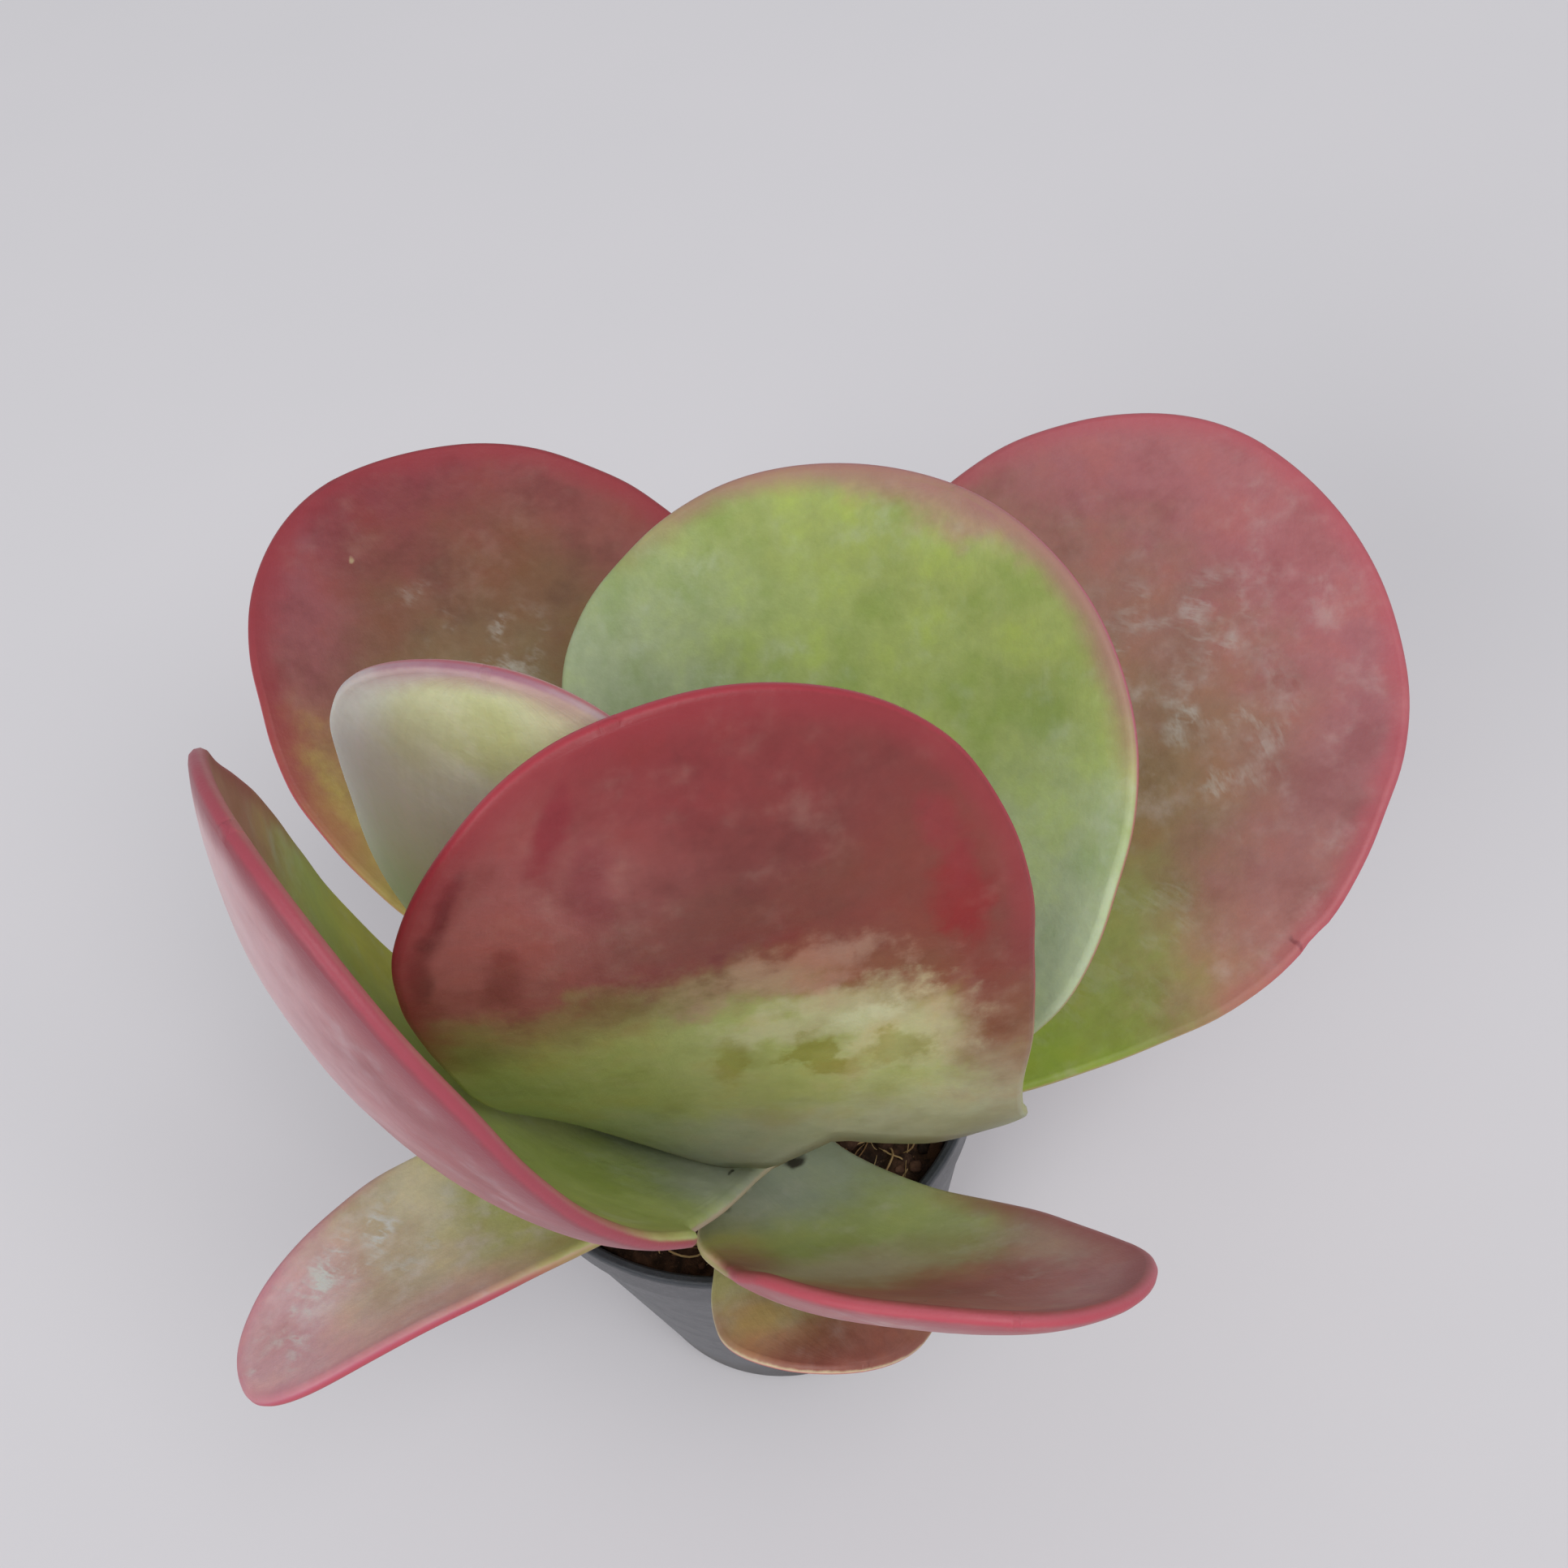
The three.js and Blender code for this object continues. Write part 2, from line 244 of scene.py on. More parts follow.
    def grain(
        self, place: bpy.types.NodeSocket, scale: float, detail: float = 2.0, rough: float = 0.5
    ) -> bpy.types.NodeSocket:
        """Adds noise from 0 to 1.

        Args:
            place: The coordinates.
            scale: Features for each unit of the coordinates.
            detail: How many finer layers there are.
            rough: How strong the finer layers are.

        Returns:
            The noise.
        """
        inputs = {"Vector": place, "Scale": scale, "Detail": detail, "Roughness": rough}
        return self.put("ShaderNodeTexNoise", inputs).outputs[0]

    def use(self, group: bpy.types.NodeTree, **inputs: object) -> bpy.types.Node:
        """Places a node group.

        Args:
            group: The group.
            inputs: What goes into its inputs, by name with underscores for spaces.

        Returns:
            The group's node.
        """
        named = {key.replace("_", " "): value for key, value in inputs.items()}
        return self.put("ShaderNodeGroup", named, node_tree=group)

    def give(self, out: bpy.types.Node, **values: bpy.types.NodeSocket) -> bpy.types.NodeTree:
        """Feeds a group's outputs.

        Args:
            out: The group's output node.
            values: What goes into its outputs, by name with underscores for spaces.

        Returns:
            The group.
        """
        for key, value in values.items():
            self.feed(out.inputs[key.replace("_", " ")], value)
        return self.tree

    def finish(
        self, colour: bpy.types.NodeSocket, rough: Number, gloss: float,
        relief: Optional[bpy.types.NodeSocket] = None, bump: Bump = Bump(),
    ) -> bpy.types.Node:
        """Feeds the material's shader.

        Args:
            colour: Its base colour.
            rough: Its roughness.
            gloss: Its specular level.
            relief: The height of its fine relief, or None for a plain surface.
            bump: How the relief shows.

        Returns:
            The shader.
        """
        shader = self.tree.nodes["Principled BSDF"]
        self.feed(shader.inputs["Base Color"], colour)
        self.feed(shader.inputs["Roughness"], rough)
        self.feed(shader.inputs["Specular IOR Level"], gloss)
        if relief is not None:
            heights = {"Strength": bump.strength, "Distance": bump.depth * MM, "Height": relief}
            self.feed(shader.inputs["Normal"], self.put("ShaderNodeBump", heights).outputs[0])
        return shader


def new_material(name: str) -> tuple[bpy.types.Material, Wiring]:
    """Starts a material.

    Args:
        name: The material's name.

    Returns:
        The material and its wiring.
    """
    made = bpy.data.materials.new(name)
    made.use_nodes = True
    return made, Wiring(made.node_tree)


class Kind(Enum):
    """The kinds of socket that a group has."""

    NUMBER = "NodeSocketFloat"
    COLOUR = "NodeSocketColor"
    VECTOR = "NodeSocketVector"

    @classmethod
    def of(cls, value: object) -> "Kind":
        """Finds the kind of socket that a default needs.

        Args:
            value: A colour code, a number or a vector.

        Returns:
            The kind.
        """
        if isinstance(value, str):
            return cls.COLOUR
        return cls.VECTOR if isinstance(value, tuple) else cls.NUMBER


def new_group(
    name: str, inputs: dict[str, object], outputs: dict[str, Kind]
) -> tuple[Wiring, Sockets, bpy.types.Node]:
    """Starts a shader node group.

    Args:
        name: The group's name.
        inputs: Each input's name and its default, a colour code, a number or a vector.
        outputs: Each output's name and kind.

    Returns:
        The group's wiring, its inputs as sockets by name, and its output node.
    """
    tree = bpy.data.node_groups.new(name, "ShaderNodeTree")
    for label, value in inputs.items():
        socket = tree.interface.new_socket(name=label, in_out="INPUT", socket_type=Kind.of(value).value)
        socket.default_value = linear(value) if isinstance(value, str) else value
    for label, kind in outputs.items():
        tree.interface.new_socket(name=label, in_out="OUTPUT", socket_type=kind.value)
    wiring = Wiring(tree)
    source = wiring.put("NodeGroupInput")
    return wiring, {key: source.outputs[key] for key in inputs}, wiring.put("NodeGroupOutput")


def leaf_field_group() -> bpy.types.NodeTree:
    """Makes the group that gives each point of a blade its place on it and the noises that its paint uses.

    Returns:
        The group.
    """
    outputs = {
        "Across": Kind.NUMBER, "Along": Kind.NUMBER, "Margin": Kind.NUMBER, "Outer": Kind.NUMBER,
        "Place": Kind.VECTOR, "Ragged": Kind.NUMBER, "Fine": Kind.NUMBER, "Strands": Kind.NUMBER,
    }
    inputs = {"Seed": (0.0, 0.0, 0.0), "Warp": 0.12, "Lanes": (22.0, 2.4, 0.0)}
    w, given, out = new_group("leaf field", inputs, outputs)
    split = w.put("ShaderNodeSeparateXYZ", {0: w.put("ShaderNodeUVMap", uv_map="Leaf").outputs[0]})
    across, along = w.signed(split.outputs[0]), split.outputs[1]
    scaled = w.millimetres()
    moved = w.vector("ADD", scaled, given["Seed"])
    push = w.sum("SUBTRACT", w.grain(moved, 0.11, 3.0, 0.6), 0.5)
    pull = w.sum("SUBTRACT", w.grain(scaled, 0.14, 3.0, 0.6), 0.5)
    flat = w.put("ShaderNodeCombineXYZ", {0: across, 1: along}).outputs[0]
    lanes = w.vector("MULTIPLY", flat, given["Lanes"])
    return w.give(
        out,
        Across=w.sum("MULTIPLY_ADD", push, given["Warp"], across),
        Along=w.sum("MULTIPLY_ADD", pull, given["Warp"], along),
        Margin=w.attribute("margin_mm"),
        Outer=w.fade_at(w.attribute("outer_face"), 0.5, 0.15),
        Place=moved,
        Ragged=w.signed(w.grain(moved, 0.28, 5.0, 0.62)),
        Fine=w.signed(w.grain(moved, 1.1, 3.0, 0.6)),
        Strands=w.signed(w.grain(w.vector("ADD", lanes, given["Seed"]), 1.0, 4.0, 0.6)),
    )


def three_tone_group() -> bpy.types.NodeTree:
    """Makes the group that colours a blade from foot to tip in three tones.

    Returns:
        The group.
    """
    inputs = {
        "Foot": "808080", "Middle": "808080", "Tip": "808080",
        "Low": 0.3, "High": 0.7, "Spread": 0.12, "Along": 0.0, "Ragged": 0.0, "Raggedness": 0.03,
    }
    w, given, out = new_group("three tone", inputs, {"Color": Kind.COLOUR})
    along = w.sum("MULTIPLY_ADD", given["Ragged"], given["Raggedness"], given["Along"])
    lower = w.blend(w.fade_at(along, given["Low"], given["Spread"]), given["Foot"], given["Middle"])
    return w.give(out, Color=w.blend(w.fade_at(along, given["High"], given["Spread"]), lower, given["Tip"]))


def patch_distance(w: Wiring, given: Sockets) -> bpy.types.NodeSocket:
    """Measures how far a point is from the middle of a patch.

    Args:
        w: The group's wiring.
        given: The group's inputs, with the patch's middle and half sizes.

    Returns:
        The distance, which is 1 at the patch's edge.
    """
    side, ahead = (
        w.sum("DIVIDE", w.sum("SUBTRACT", given[line], given["At " + line]), given["Half " + line])
        for line in ("Across", "Along")
    )
    return w.sum("SQRT", w.sum("MULTIPLY_ADD", side, side, w.sum("MULTIPLY", ahead, ahead)))


def soft_patch_group() -> bpy.types.NodeTree:
    """Makes the group that lays one soft, ragged patch of another colour on a blade.

    Returns:
        The group.
    """
    inputs = {
        "Color": "808080", "Paint": "ffffff", "Across": 0.0, "Along": 0.0, "Ragged": 0.0,
        "At Across": 0.0, "At Along": 0.5, "Half Across": 0.3, "Half Along": 0.2,
        "Softness": 0.6, "Raggedness": 0.4, "Strength": 0.8,
    }
    w, given, out = new_group("soft patch", inputs, {"Color": Kind.COLOUR})
    far = w.sum("MULTIPLY_ADD", given["Ragged"], given["Raggedness"], patch_distance(w, given))
    mask = w.product(w.rest(w.fade_at(far, 1.0, given["Softness"])), given["Strength"])
    return w.give(out, Color=w.blend(mask, given["Color"], given["Paint"]))


def flesh_group() -> bpy.types.NodeTree:
    """Makes the group for what all the skin shares: mottling, strands and a powdery bloom.

    Returns:
        The group.
    """
    inputs = {
        "Color": "808080", "Place": (0.0, 0.0, 0.0), "Fine": 0.0, "Strands": 0.0,
        "Mottle": 0.3, "Light": "c0c08a", "Dark": "503a30", "Strand": 0.15,
        "Wax": "d8dcd6", "Bloom": 0.15, "Clouds": 0.3,
    }
    w, given, out = new_group("leaf flesh", inputs, {"Color": Kind.COLOUR, "Wax Mask": Kind.NUMBER})
    medium = w.grain(given["Place"], 0.15, 4.0, 0.55)
    light = w.product(w.fade(medium, 0.46, 0.72), given["Mottle"])
    dark = w.product(w.fade(medium, 0.54, 0.28), given["Mottle"])
    colour = w.blend(light, given["Color"], given["Light"], "SOFT_LIGHT")
    colour = w.blend(dark, colour, given["Dark"], "SOFT_LIGHT")
    shade = w.sum("MULTIPLY_ADD", given["Fine"], w.product(given["Mottle"], 0.26), 1.0)
    stripe = w.sum("MULTIPLY_ADD", given["Strands"], given["Strand"], shade)
    tint = w.put("ShaderNodeCombineColor", {0: stripe, 1: stripe, 2: stripe}).outputs[0]
    colour = w.blend(1.0, colour, tint, "MULTIPLY")
    cloud = w.fade(w.grain(given["Place"], 0.085, 4.0, 0.6), 0.46, 0.7)
    powder = w.sum("MULTIPLY_ADD", given["Fine"], 0.06, w.grain(given["Place"], 0.34, 4.0, 0.6))
    dust = w.fade(powder, 0.38, 0.78)
    patchy = w.product(cloud, dust, given["Clouds"])
    even = w.product(w.sum("MULTIPLY_ADD", dust, 0.6, 0.4), given["Bloom"])
    wax = w.sum("MINIMUM", w.sum("ADD", patchy, even), 1.0)
    return w.give(out, Wax_Mask=wax, Color=w.blend(wax, colour, given["Wax"]))


def scuff_group() -> bpy.types.NodeTree:
    """Makes the group for pale flecks and scratches where the bloom was rubbed up, inside a soft patch.

    Returns:
        The group.
    """
    inputs = {
        "Color": "808080", "Paint": "d8dcd4", "Across": 0.0, "Along": 0.0, "Place": (0.0, 0.0, 0.0),
        "At Across": 0.0, "At Along": 0.5, "Half Across": 0.3, "Half Along": 0.2,
        "Turn": 0.5, "Stretch": (0.35, 1.1, 0.7), "Strength": 0.6,
    }
    w, given, out = new_group("bloom scuffs", inputs, {"Color": Kind.COLOUR})
    room = w.rest(w.fade(patch_distance(w, given), 0.45, 1.15))
    turned = w.put(
        "ShaderNodeVectorRotate", {"Vector": given["Place"], "Angle": given["Turn"]}, rotation_type="Z_AXIS"
    ).outputs[0]
    streaks = w.ridges(w.grain(w.vector("MULTIPLY", turned, given["Stretch"]), 0.4, 4.0, 0.6), 0.52, 0.1)
    breaks = w.fade(w.grain(given["Place"], 0.22, 3.0, 0.55), 0.46, 0.68)
    flecks = w.fade(w.grain(given["Place"], 1.1, 2.0, 0.5), 0.56, 0.76)
    marks = w.sum("MAXIMUM", w.product(streaks, breaks), w.product(breaks, 0.7, flecks))
    mask = w.product(marks, room, given["Strength"])
    return w.give(out, Color=w.blend(mask, given["Color"], given["Paint"]))


def margin_group() -> bpy.types.NodeTree:
    """Makes the group that flushes a blade towards its margin and draws its thin rim.

    Returns:
        The group.
    """
    inputs = {
        "Color": "808080", "Margin": 5.0, "Along": 0.0, "Ragged": 0.0, "Fine": 0.0,
        "Blush": "a04050", "Blush Width": 3.0, "Blush Amount": 0.6, "Blush From": 0.4,
        "Rim Tip": "c05060", "Rim Foot": "b0a860", "Rim From": 0.4, "Rim Width": 0.5, "Rim Amount": 0.8,
    }
    w, given, out = new_group("leaf margin", inputs, {"Color": Kind.COLOUR})
    wide = w.product(given["Blush Width"], w.sum("MULTIPLY_ADD", given["Ragged"], 0.45, 1.0))
    near = w.rest(w.fade(given["Margin"], w.product(wide, 0.1), wide))
    upper = w.fade_at(given["Along"], given["Blush From"], 0.12)
    colour = w.blend(w.product(near, upper, given["Blush Amount"]), given["Color"], given["Blush"])
    rim_upper = w.fade_at(given["Along"], given["Rim From"], 0.1)
    rim_colour = w.blend(rim_upper, given["Rim Foot"], given["Rim Tip"])
    rim_wide = w.product(given["Rim Width"], w.sum("MULTIPLY_ADD", given["Fine"], 0.3, 1.0))
    rim_near = w.rest(w.fade(given["Margin"], w.product(rim_wide, 0.35), rim_wide))
    return w.give(out, Color=w.blend(w.product(rim_near, given["Rim Amount"]), colour, rim_colour))


def speck_group() -> bpy.types.NodeTree:
    """Makes the group for scattered small specks.

    Returns:
        The group.
    """
    inputs = {
        "Color": "808080", "Place": (0.0, 0.0, 0.0), "Paint": "2c2620",
        "Every": 6.0, "Size": 0.2, "Share": 0.3, "Strength": 0.7,
    }
    w, given, out = new_group("specks", inputs, {"Color": Kind.COLOUR})
    scale = w.sum("DIVIDE", 1.0, given["Every"])
    cells = w.put("ShaderNodeTexVoronoi", {"Vector": given["Place"], "Scale": scale})
    size = w.sum("DIVIDE", given["Size"], given["Every"])
    dot = w.rest(w.fade(cells.outputs["Distance"], w.product(size, 0.5), size))
    lot = w.put("ShaderNodeSeparateColor", {0: cells.outputs["Color"]}).outputs[0]
    mask = w.product(dot, w.sum("LESS_THAN", lot, given["Share"]), given["Strength"])
    return w.give(out, Color=w.blend(mask, given["Color"], given["Paint"]))


def skin_relief_group() -> bpy.types.NodeTree:
    """Makes the group for a blade's fine relief and the evenness of its gloss.

    Returns:
        The group.
    """
    inputs = {"Place": (0.0, 0.0, 0.0), "Fine": 0.0, "Strands": 0.0, "Wax Mask": 0.0, "Base Roughness": 0.45}
    w, given, out = new_group("skin relief", inputs, {"Height": Kind.NUMBER, "Roughness": Kind.NUMBER})
    pores = w.grain(given["Place"], 3.6, 2.0, 0.5)
    dents = w.grain(given["Place"], 0.22, 3.0, 0.55)
    height = w.sum("MULTIPLY_ADD", pores, 0.25, w.product(dents, 1.6))
    height = w.sum("MULTIPLY_ADD", given["Strands"], 0.18, height)
    height = w.sum("MULTIPLY_ADD", given["Fine"], 0.12, height)
    rough = w.sum("MULTIPLY_ADD", given["Wax Mask"], 0.28, given["Base Roughness"])
    rough = w.sum("MULTIPLY_ADD", given["Fine"], 0.05, rough)
    return w.give(out, Height=height, Roughness=rough)


class Groups:
    """The node groups that the materials share, each made once."""

    def __init__(self) -> None:
        """Makes every group."""
        self.field = leaf_field_group()
        self.tone = three_tone_group()
        self.patch = soft_patch_group()
        self.flesh = flesh_group()
        self.scuff = scuff_group()
        self.margin = margin_group()
        self.speck = speck_group()
        self.relief = skin_relief_group()


# Leaf finishes

SKIN_GLOSS = 0.38
SKIN_BUMP = Bump(0.35, 0.25)
SKIN_DEPTH = {"Subsurface Weight": 0.12, "Subsurface Radius": (0.9, 0.5, 0.25), "Subsurface Scale": 1.2 * MM}
SEED_SPREAD = 400


def picked(place: Sockets, *names: str) -> Sockets:
    """Picks outputs of the leaf field by name."""
    return {name: place[name] for name in names}


@dataclass(frozen=True)
class Patch:
    """A soft patch of another colour on a blade."""

    paint: str
    across: float
    along: float
    half_across: float
    half_along: float
    strength: float = 0.8
    softness: float = 0.6
    ragged: float = 0.4


@dataclass(frozen=True)
class Scuff:
    """A place where the bloom is rubbed into pale flecks."""

    across: float
    along: float
    half_across: float
    half_along: float
    strength: float = 0.6
    turn: float = 0.6
    paint: str = "cdd0c8"


@dataclass(frozen=True)
class FaceLook:
    """The colours of one face of a blade, from its foot to its tip."""

    foot: str
    middle: str
    tip: str
    low: float = 0.35
    high: float = 0.7
    spread: float = 0.14
    raggedness: float = 0.04
    patches: tuple[Patch, ...] = ()
    mottle: float = 0.35
    light: str = "d0c890"
    dark: str = "4a3428"
    strand: float = 0.05
    wax: str = "d2d6d0"
    bloom: float = 0.1
    clouds: float = 0.2
    scuffs: tuple[Scuff, ...] = ()
    blush: str = "9a3a4a"
    blush_width: float = 3.0
    blush_amount: float = 0.5
    blush_from: float = 0.5
    rim: str = "b84a58"
    rim_foot: str = "a9a560"
    rim_from: float = 0.45
    rim_width: float = 0.55
    rim_amount: float = 0.85
    specks: float = 0.12

    def paint(
        self, w: Wiring, groups: Groups, place: Sockets
    ) -> tuple[bpy.types.NodeSocket, bpy.types.NodeSocket]:
        """Builds the face's colour.

        Args:
            w: The material's wiring.
            groups: The shared groups.
            place: The outputs of the leaf field by name.

        Returns:
            The colour, and the mask of the wax on it.
        """
        colour = w.use(
            groups.tone, Foot=self.foot, Middle=self.middle, Tip=self.tip, Low=self.low, High=self.high,
            Spread=self.spread, Raggedness=self.raggedness, **picked(place, "Along", "Ragged"),
        ).outputs[0]
        for patch in self.patches:
            colour = w.use(
                groups.patch, Color=colour, Paint=patch.paint, At_Across=patch.across, At_Along=patch.along,
                Half_Across=patch.half_across, Half_Along=patch.half_along, Softness=patch.softness,
                Raggedness=patch.ragged, Strength=patch.strength,
                **picked(place, "Across", "Along", "Ragged"),
            ).outputs[0]
        flesh = w.use(
            groups.flesh, Color=colour, Mottle=self.mottle, Light=self.light, Dark=self.dark,
            Strand=self.strand, Wax=self.wax, Bloom=self.bloom, Clouds=self.clouds,
            **picked(place, "Place", "Fine", "Strands"),
        )
        colour = flesh.outputs["Color"]
        for scuff in self.scuffs:
            colour = w.use(
                groups.scuff, Color=colour, Paint=scuff.paint, At_Across=scuff.across, At_Along=scuff.along,
                Half_Across=scuff.half_across, Half_Along=scuff.half_along, Turn=scuff.turn,
                Strength=scuff.strength, **picked(place, "Across", "Along", "Place"),
            ).outputs[0]
        if self.specks > 0:
            colour = w.use(groups.speck, Color=colour, Place=place["Place"], Share=self.specks).outputs[0]
        colour = w.use(
            groups.margin, Color=colour, Blush=self.blush, Blush_Width=self.blush_width,
            Blush_Amount=self.blush_amount, Blush_From=self.blush_from, Rim_Tip=self.rim,
            Rim_Foot=self.rim_foot, Rim_From=self.rim_from, Rim_Width=self.rim_width,
            Rim_Amount=self.rim_amount, **picked(place, "Margin", "Along", "Ragged", "Fine"),
        ).outputs[0]
        return colour, flesh.outputs["Wax Mask"]


@dataclass(frozen=True)
class LeafSkin:
    """The finish of one leaf: its two faces and its own seed."""

    inner: FaceLook
    outer: FaceLook
    seed: int = 1
    roughness: float = 0.45

    def material(self, name: str, groups: Groups) -> bpy.types.Material:
        """Makes the leaf's material.

        Args:
            name: The material's name.
            groups: The shared groups.

        Returns:
            The material.
        """
        made, w = new_material(name)
        draw = random.Random(self.seed)
        shift = tuple(draw.uniform(-SEED_SPREAD, SEED_SPREAD) for _ in range(3))
        spot = w.use(groups.field, Seed=shift)
        place = {socket.name: socket for socket in spot.outputs}
        inner, inner_wax = self.inner.paint(w, groups, place)
        outer, outer_wax = self.outer.paint(w, groups, place)
        colour = w.blend(place["Outer"], inner, outer)
        faces = {0: place["Outer"], 2: inner_wax, 3: outer_wax}
        wax = w.put("ShaderNodeMix", faces, data_type="FLOAT").outputs[0]
        relief = w.use(
            groups.relief, Wax_Mask=wax, Base_Roughness=self.roughness,
            **picked(place, "Place", "Fine", "Strands"),
        )
        height, rough = relief.outputs["Height"], relief.outputs["Roughness"]
        shader = w.finish(colour, rough, SKIN_GLOSS, height, SKIN_BUMP)
        for key, value in SKIN_DEPTH.items():
            w.feed(shader.inputs[key], value)
        return made


# Leaf shape

CLASP_END = 0.35
HEEL = 3.0
FOOT_END = 0.42
MARGIN_THICKNESS = 1.3
BASE_THICKNESS = 4.2
BELLY_THICKNESS = 3.2
BELLY_AT = 0.3
TIP_THICKNESS = 1.7
MARGIN_ROUND = 0.5
RIPPLE_SLANT = 0.2
SWELLS = (44.0, 31.0, 23.0, 16.0, 11.0)
MARGIN_WAVES = ((34.0, 0.26), (17.0, 0.1), (8.0, 0.03))
MARGIN_SEED = 7
LEAST_BEND = 1e-6


@dataclass(frozen=True)
class Nick:
    """A local bite out of a margin, or with a negative depth a bulge or a point on it."""

    side: int
    along: float
    depth: float
    half: float
    power: int = 12
    stand: float = 0.0

    def share(self, s: np.ndarray, across: np.ndarray, length: float) -> np.ndarray:
        """Finds how much of the nick's size each point takes.

        Args:
            s: Shares of the leaf's length.
            across: Shares of the half width.
            length: The leaf's length in millimetres.

        Returns:
            Shares from 0 to 1.
        """
        on_side = np.clip(across * self.side, 0, 1) ** self.power
        return on_side * np.exp(-(((s - self.along) * length / self.half) ** 2))


@dataclass(frozen=True)
class LeafForm:
    """The shape of a leaf, from the same sizes as its solid."""

    base: tuple[float, float, float]
    length: float
    half: float
    foot: float
    widest: float
    shoulder: float
    tip: float
    lean: float
    heading: float
    sweep: float
    rise: float
    lift: float
    roll: float
    twist: float
    cup: float
    clasp: float
    body: float
    wave: float
    ripples: float
    seed: int = 1
    steps: int = 84
    columns: int = 40
    unevenness: float = 0.22
    nicks: tuple[Nick, ...] = ()
    foot_line: tuple[tuple[float, float], ...] = ((0.0, 0.0),)

    @staticmethod
    def _run(start: float, rate: float, s: np.ndarray) -> np.ndarray:
        """Integrates a cosine whose angle runs evenly.

        Args:
            start: The angle at the start.
            rate: How far the angle turns over a length of 1.
            s: How far to integrate.

        Returns:
            The integrals.
        """
        if abs(rate) < LEAST_BEND:
            return math.cos(start) * s
        return (np.sin(start + rate * s) - math.sin(start)) / rate

    def midrib(self, s: np.ndarray) -> np.ndarray:
        """Finds points of the midrib.

        Args:
            s: Shares of the length.

        Returns:
            Points in millimetres.
        """
        heading, sweep, rise, lift = map(math.radians, (self.heading, self.sweep, self.rise, self.lift))
        quarter = math.pi / 2
        ahead = self._run(rise + heading, lift + sweep, s) + self._run(rise - heading, lift - sweep, s)
        aside = (
            self._run(rise + heading - quarter, lift + sweep, s)
            - self._run(rise - heading - quarter, lift - sweep, s)
        )
        upward = self._run(rise - quarter, lift, s)
        return np.array(self.base) + self.length * np.stack([ahead / 2, aside / 2, upward], -1)

    def half_width(self, s: np.ndarray) -> np.ndarray:
        """Finds the half width of the blade.

        Args:
            s: Shares of the length.

        Returns:
            Half widths in millimetres.
        """
        swell = np.sin((math.pi / 2) * np.clip(s / self.widest, 0, 1)) ** self.shoulder
        lower = self.foot + (self.half - self.foot) * swell
        reach = np.clip((s - self.widest) / (1 - self.widest), 0, 1)
        upper = self.half * (1 - reach ** self.tip) ** (1 / self.tip)
        return np.where(s < self.widest, lower, upper)

    def trimmed(self, s: float, across: np.ndarray) -> np.ndarray:
        """Moves the points of a section up to the line where the foot is cut.

        Args:
            s: The section's share of the length.
            across: Shares of the half width.

        Returns:
            The points' shares of the length.
        """
        spots, cuts = zip(*self.foot_line)
        return s + np.interp(across, spots, cuts) * min(max(1 - s / FOOT_END, 0.0), 1.0)

    def edge_slope(self, s: float, side: int) -> float:
        """Finds how fast the outline runs outwards along the leaf.

        Args:
            s: The share of the length.
            side: 1 or -1.

        Returns:
            Millimetres outwards for each millimetre along.
        """
        step = 0.00005
        width = self.half_width(np.array([s - step, s + step])) * (1 + self.lean * side)
        return float(width[1] - width[0]) / (2 * step * self.length)

    def thickness(self, s: np.ndarray, across: np.ndarray) -> np.ndarray:
        """Finds the thickness of the blade.

        Args:
            s: Shares of the length.
            across: Shares of the half width.

        Returns:
            Thicknesses in millimetres.
        """
        rib = np.interp(s, [0, BELLY_AT, 1], [BASE_THICKNESS, BELLY_THICKNESS, TIP_THICKNESS])
        room = np.clip(self.half_width(s) / (0.5 * self.half), 0, 1)
        swell = (1 - across ** 2) * room * (2 - room)
        return self.body * (MARGIN_THICKNESS + (rib - MARGIN_THICKNESS) * swell)

    def unevenness_at(self, s: np.ndarray, across: np.ndarray) -> np.ndarray:
        """Finds how far the blade dips and swells from its even form.

        Args:
            s: Shares of the length.
            across: Shares of the half width.

        Returns:
            Heights in millimetres.
        """
        draw = random.Random(self.seed)
        total = np.zeros(np.broadcast(s, across).shape)
        for wave_length in SWELLS:
            turn = draw.uniform(0, 2 * math.pi)
            phase = draw.uniform(0, 2 * math.pi)
            run = s * self.length * math.cos(turn) + across * self.half_width(s) * math.sin(turn)
            total = total + (wave_length / SWELLS[0]) * np.sin(2 * math.pi * run / wave_length + phase)
        return self.unevenness * total / 2

    def margin_change(self, s: np.ndarray, across: np.ndarray) -> np.ndarray:
        """Finds how far the outline runs outside its even form, with its nicks.

        Args:
            s: Shares of the length.
            across: Shares of the half width.

        Returns:
            Distances outwards in millimetres.
        """
        draw = random.Random(self.seed + MARGIN_SEED)
        change = np.zeros(np.broadcast(s, across).shape)
        for side in (-1, 1):
            on_side = np.clip(across * side, 0, 1) ** 6
            for wave_length, size in MARGIN_WAVES:
                phase = draw.uniform(0, 2 * math.pi)
                change = change + on_side * size * np.sin(2 * math.pi * s * self.length / wave_length + phase)
        change = change * np.clip(s / 0.2, 0, 1)
        for nick in self.nicks:
            change = change - nick.depth * nick.share(s, across, self.length)
        return change * np.clip((1 - s) / 0.06, 0, 1)

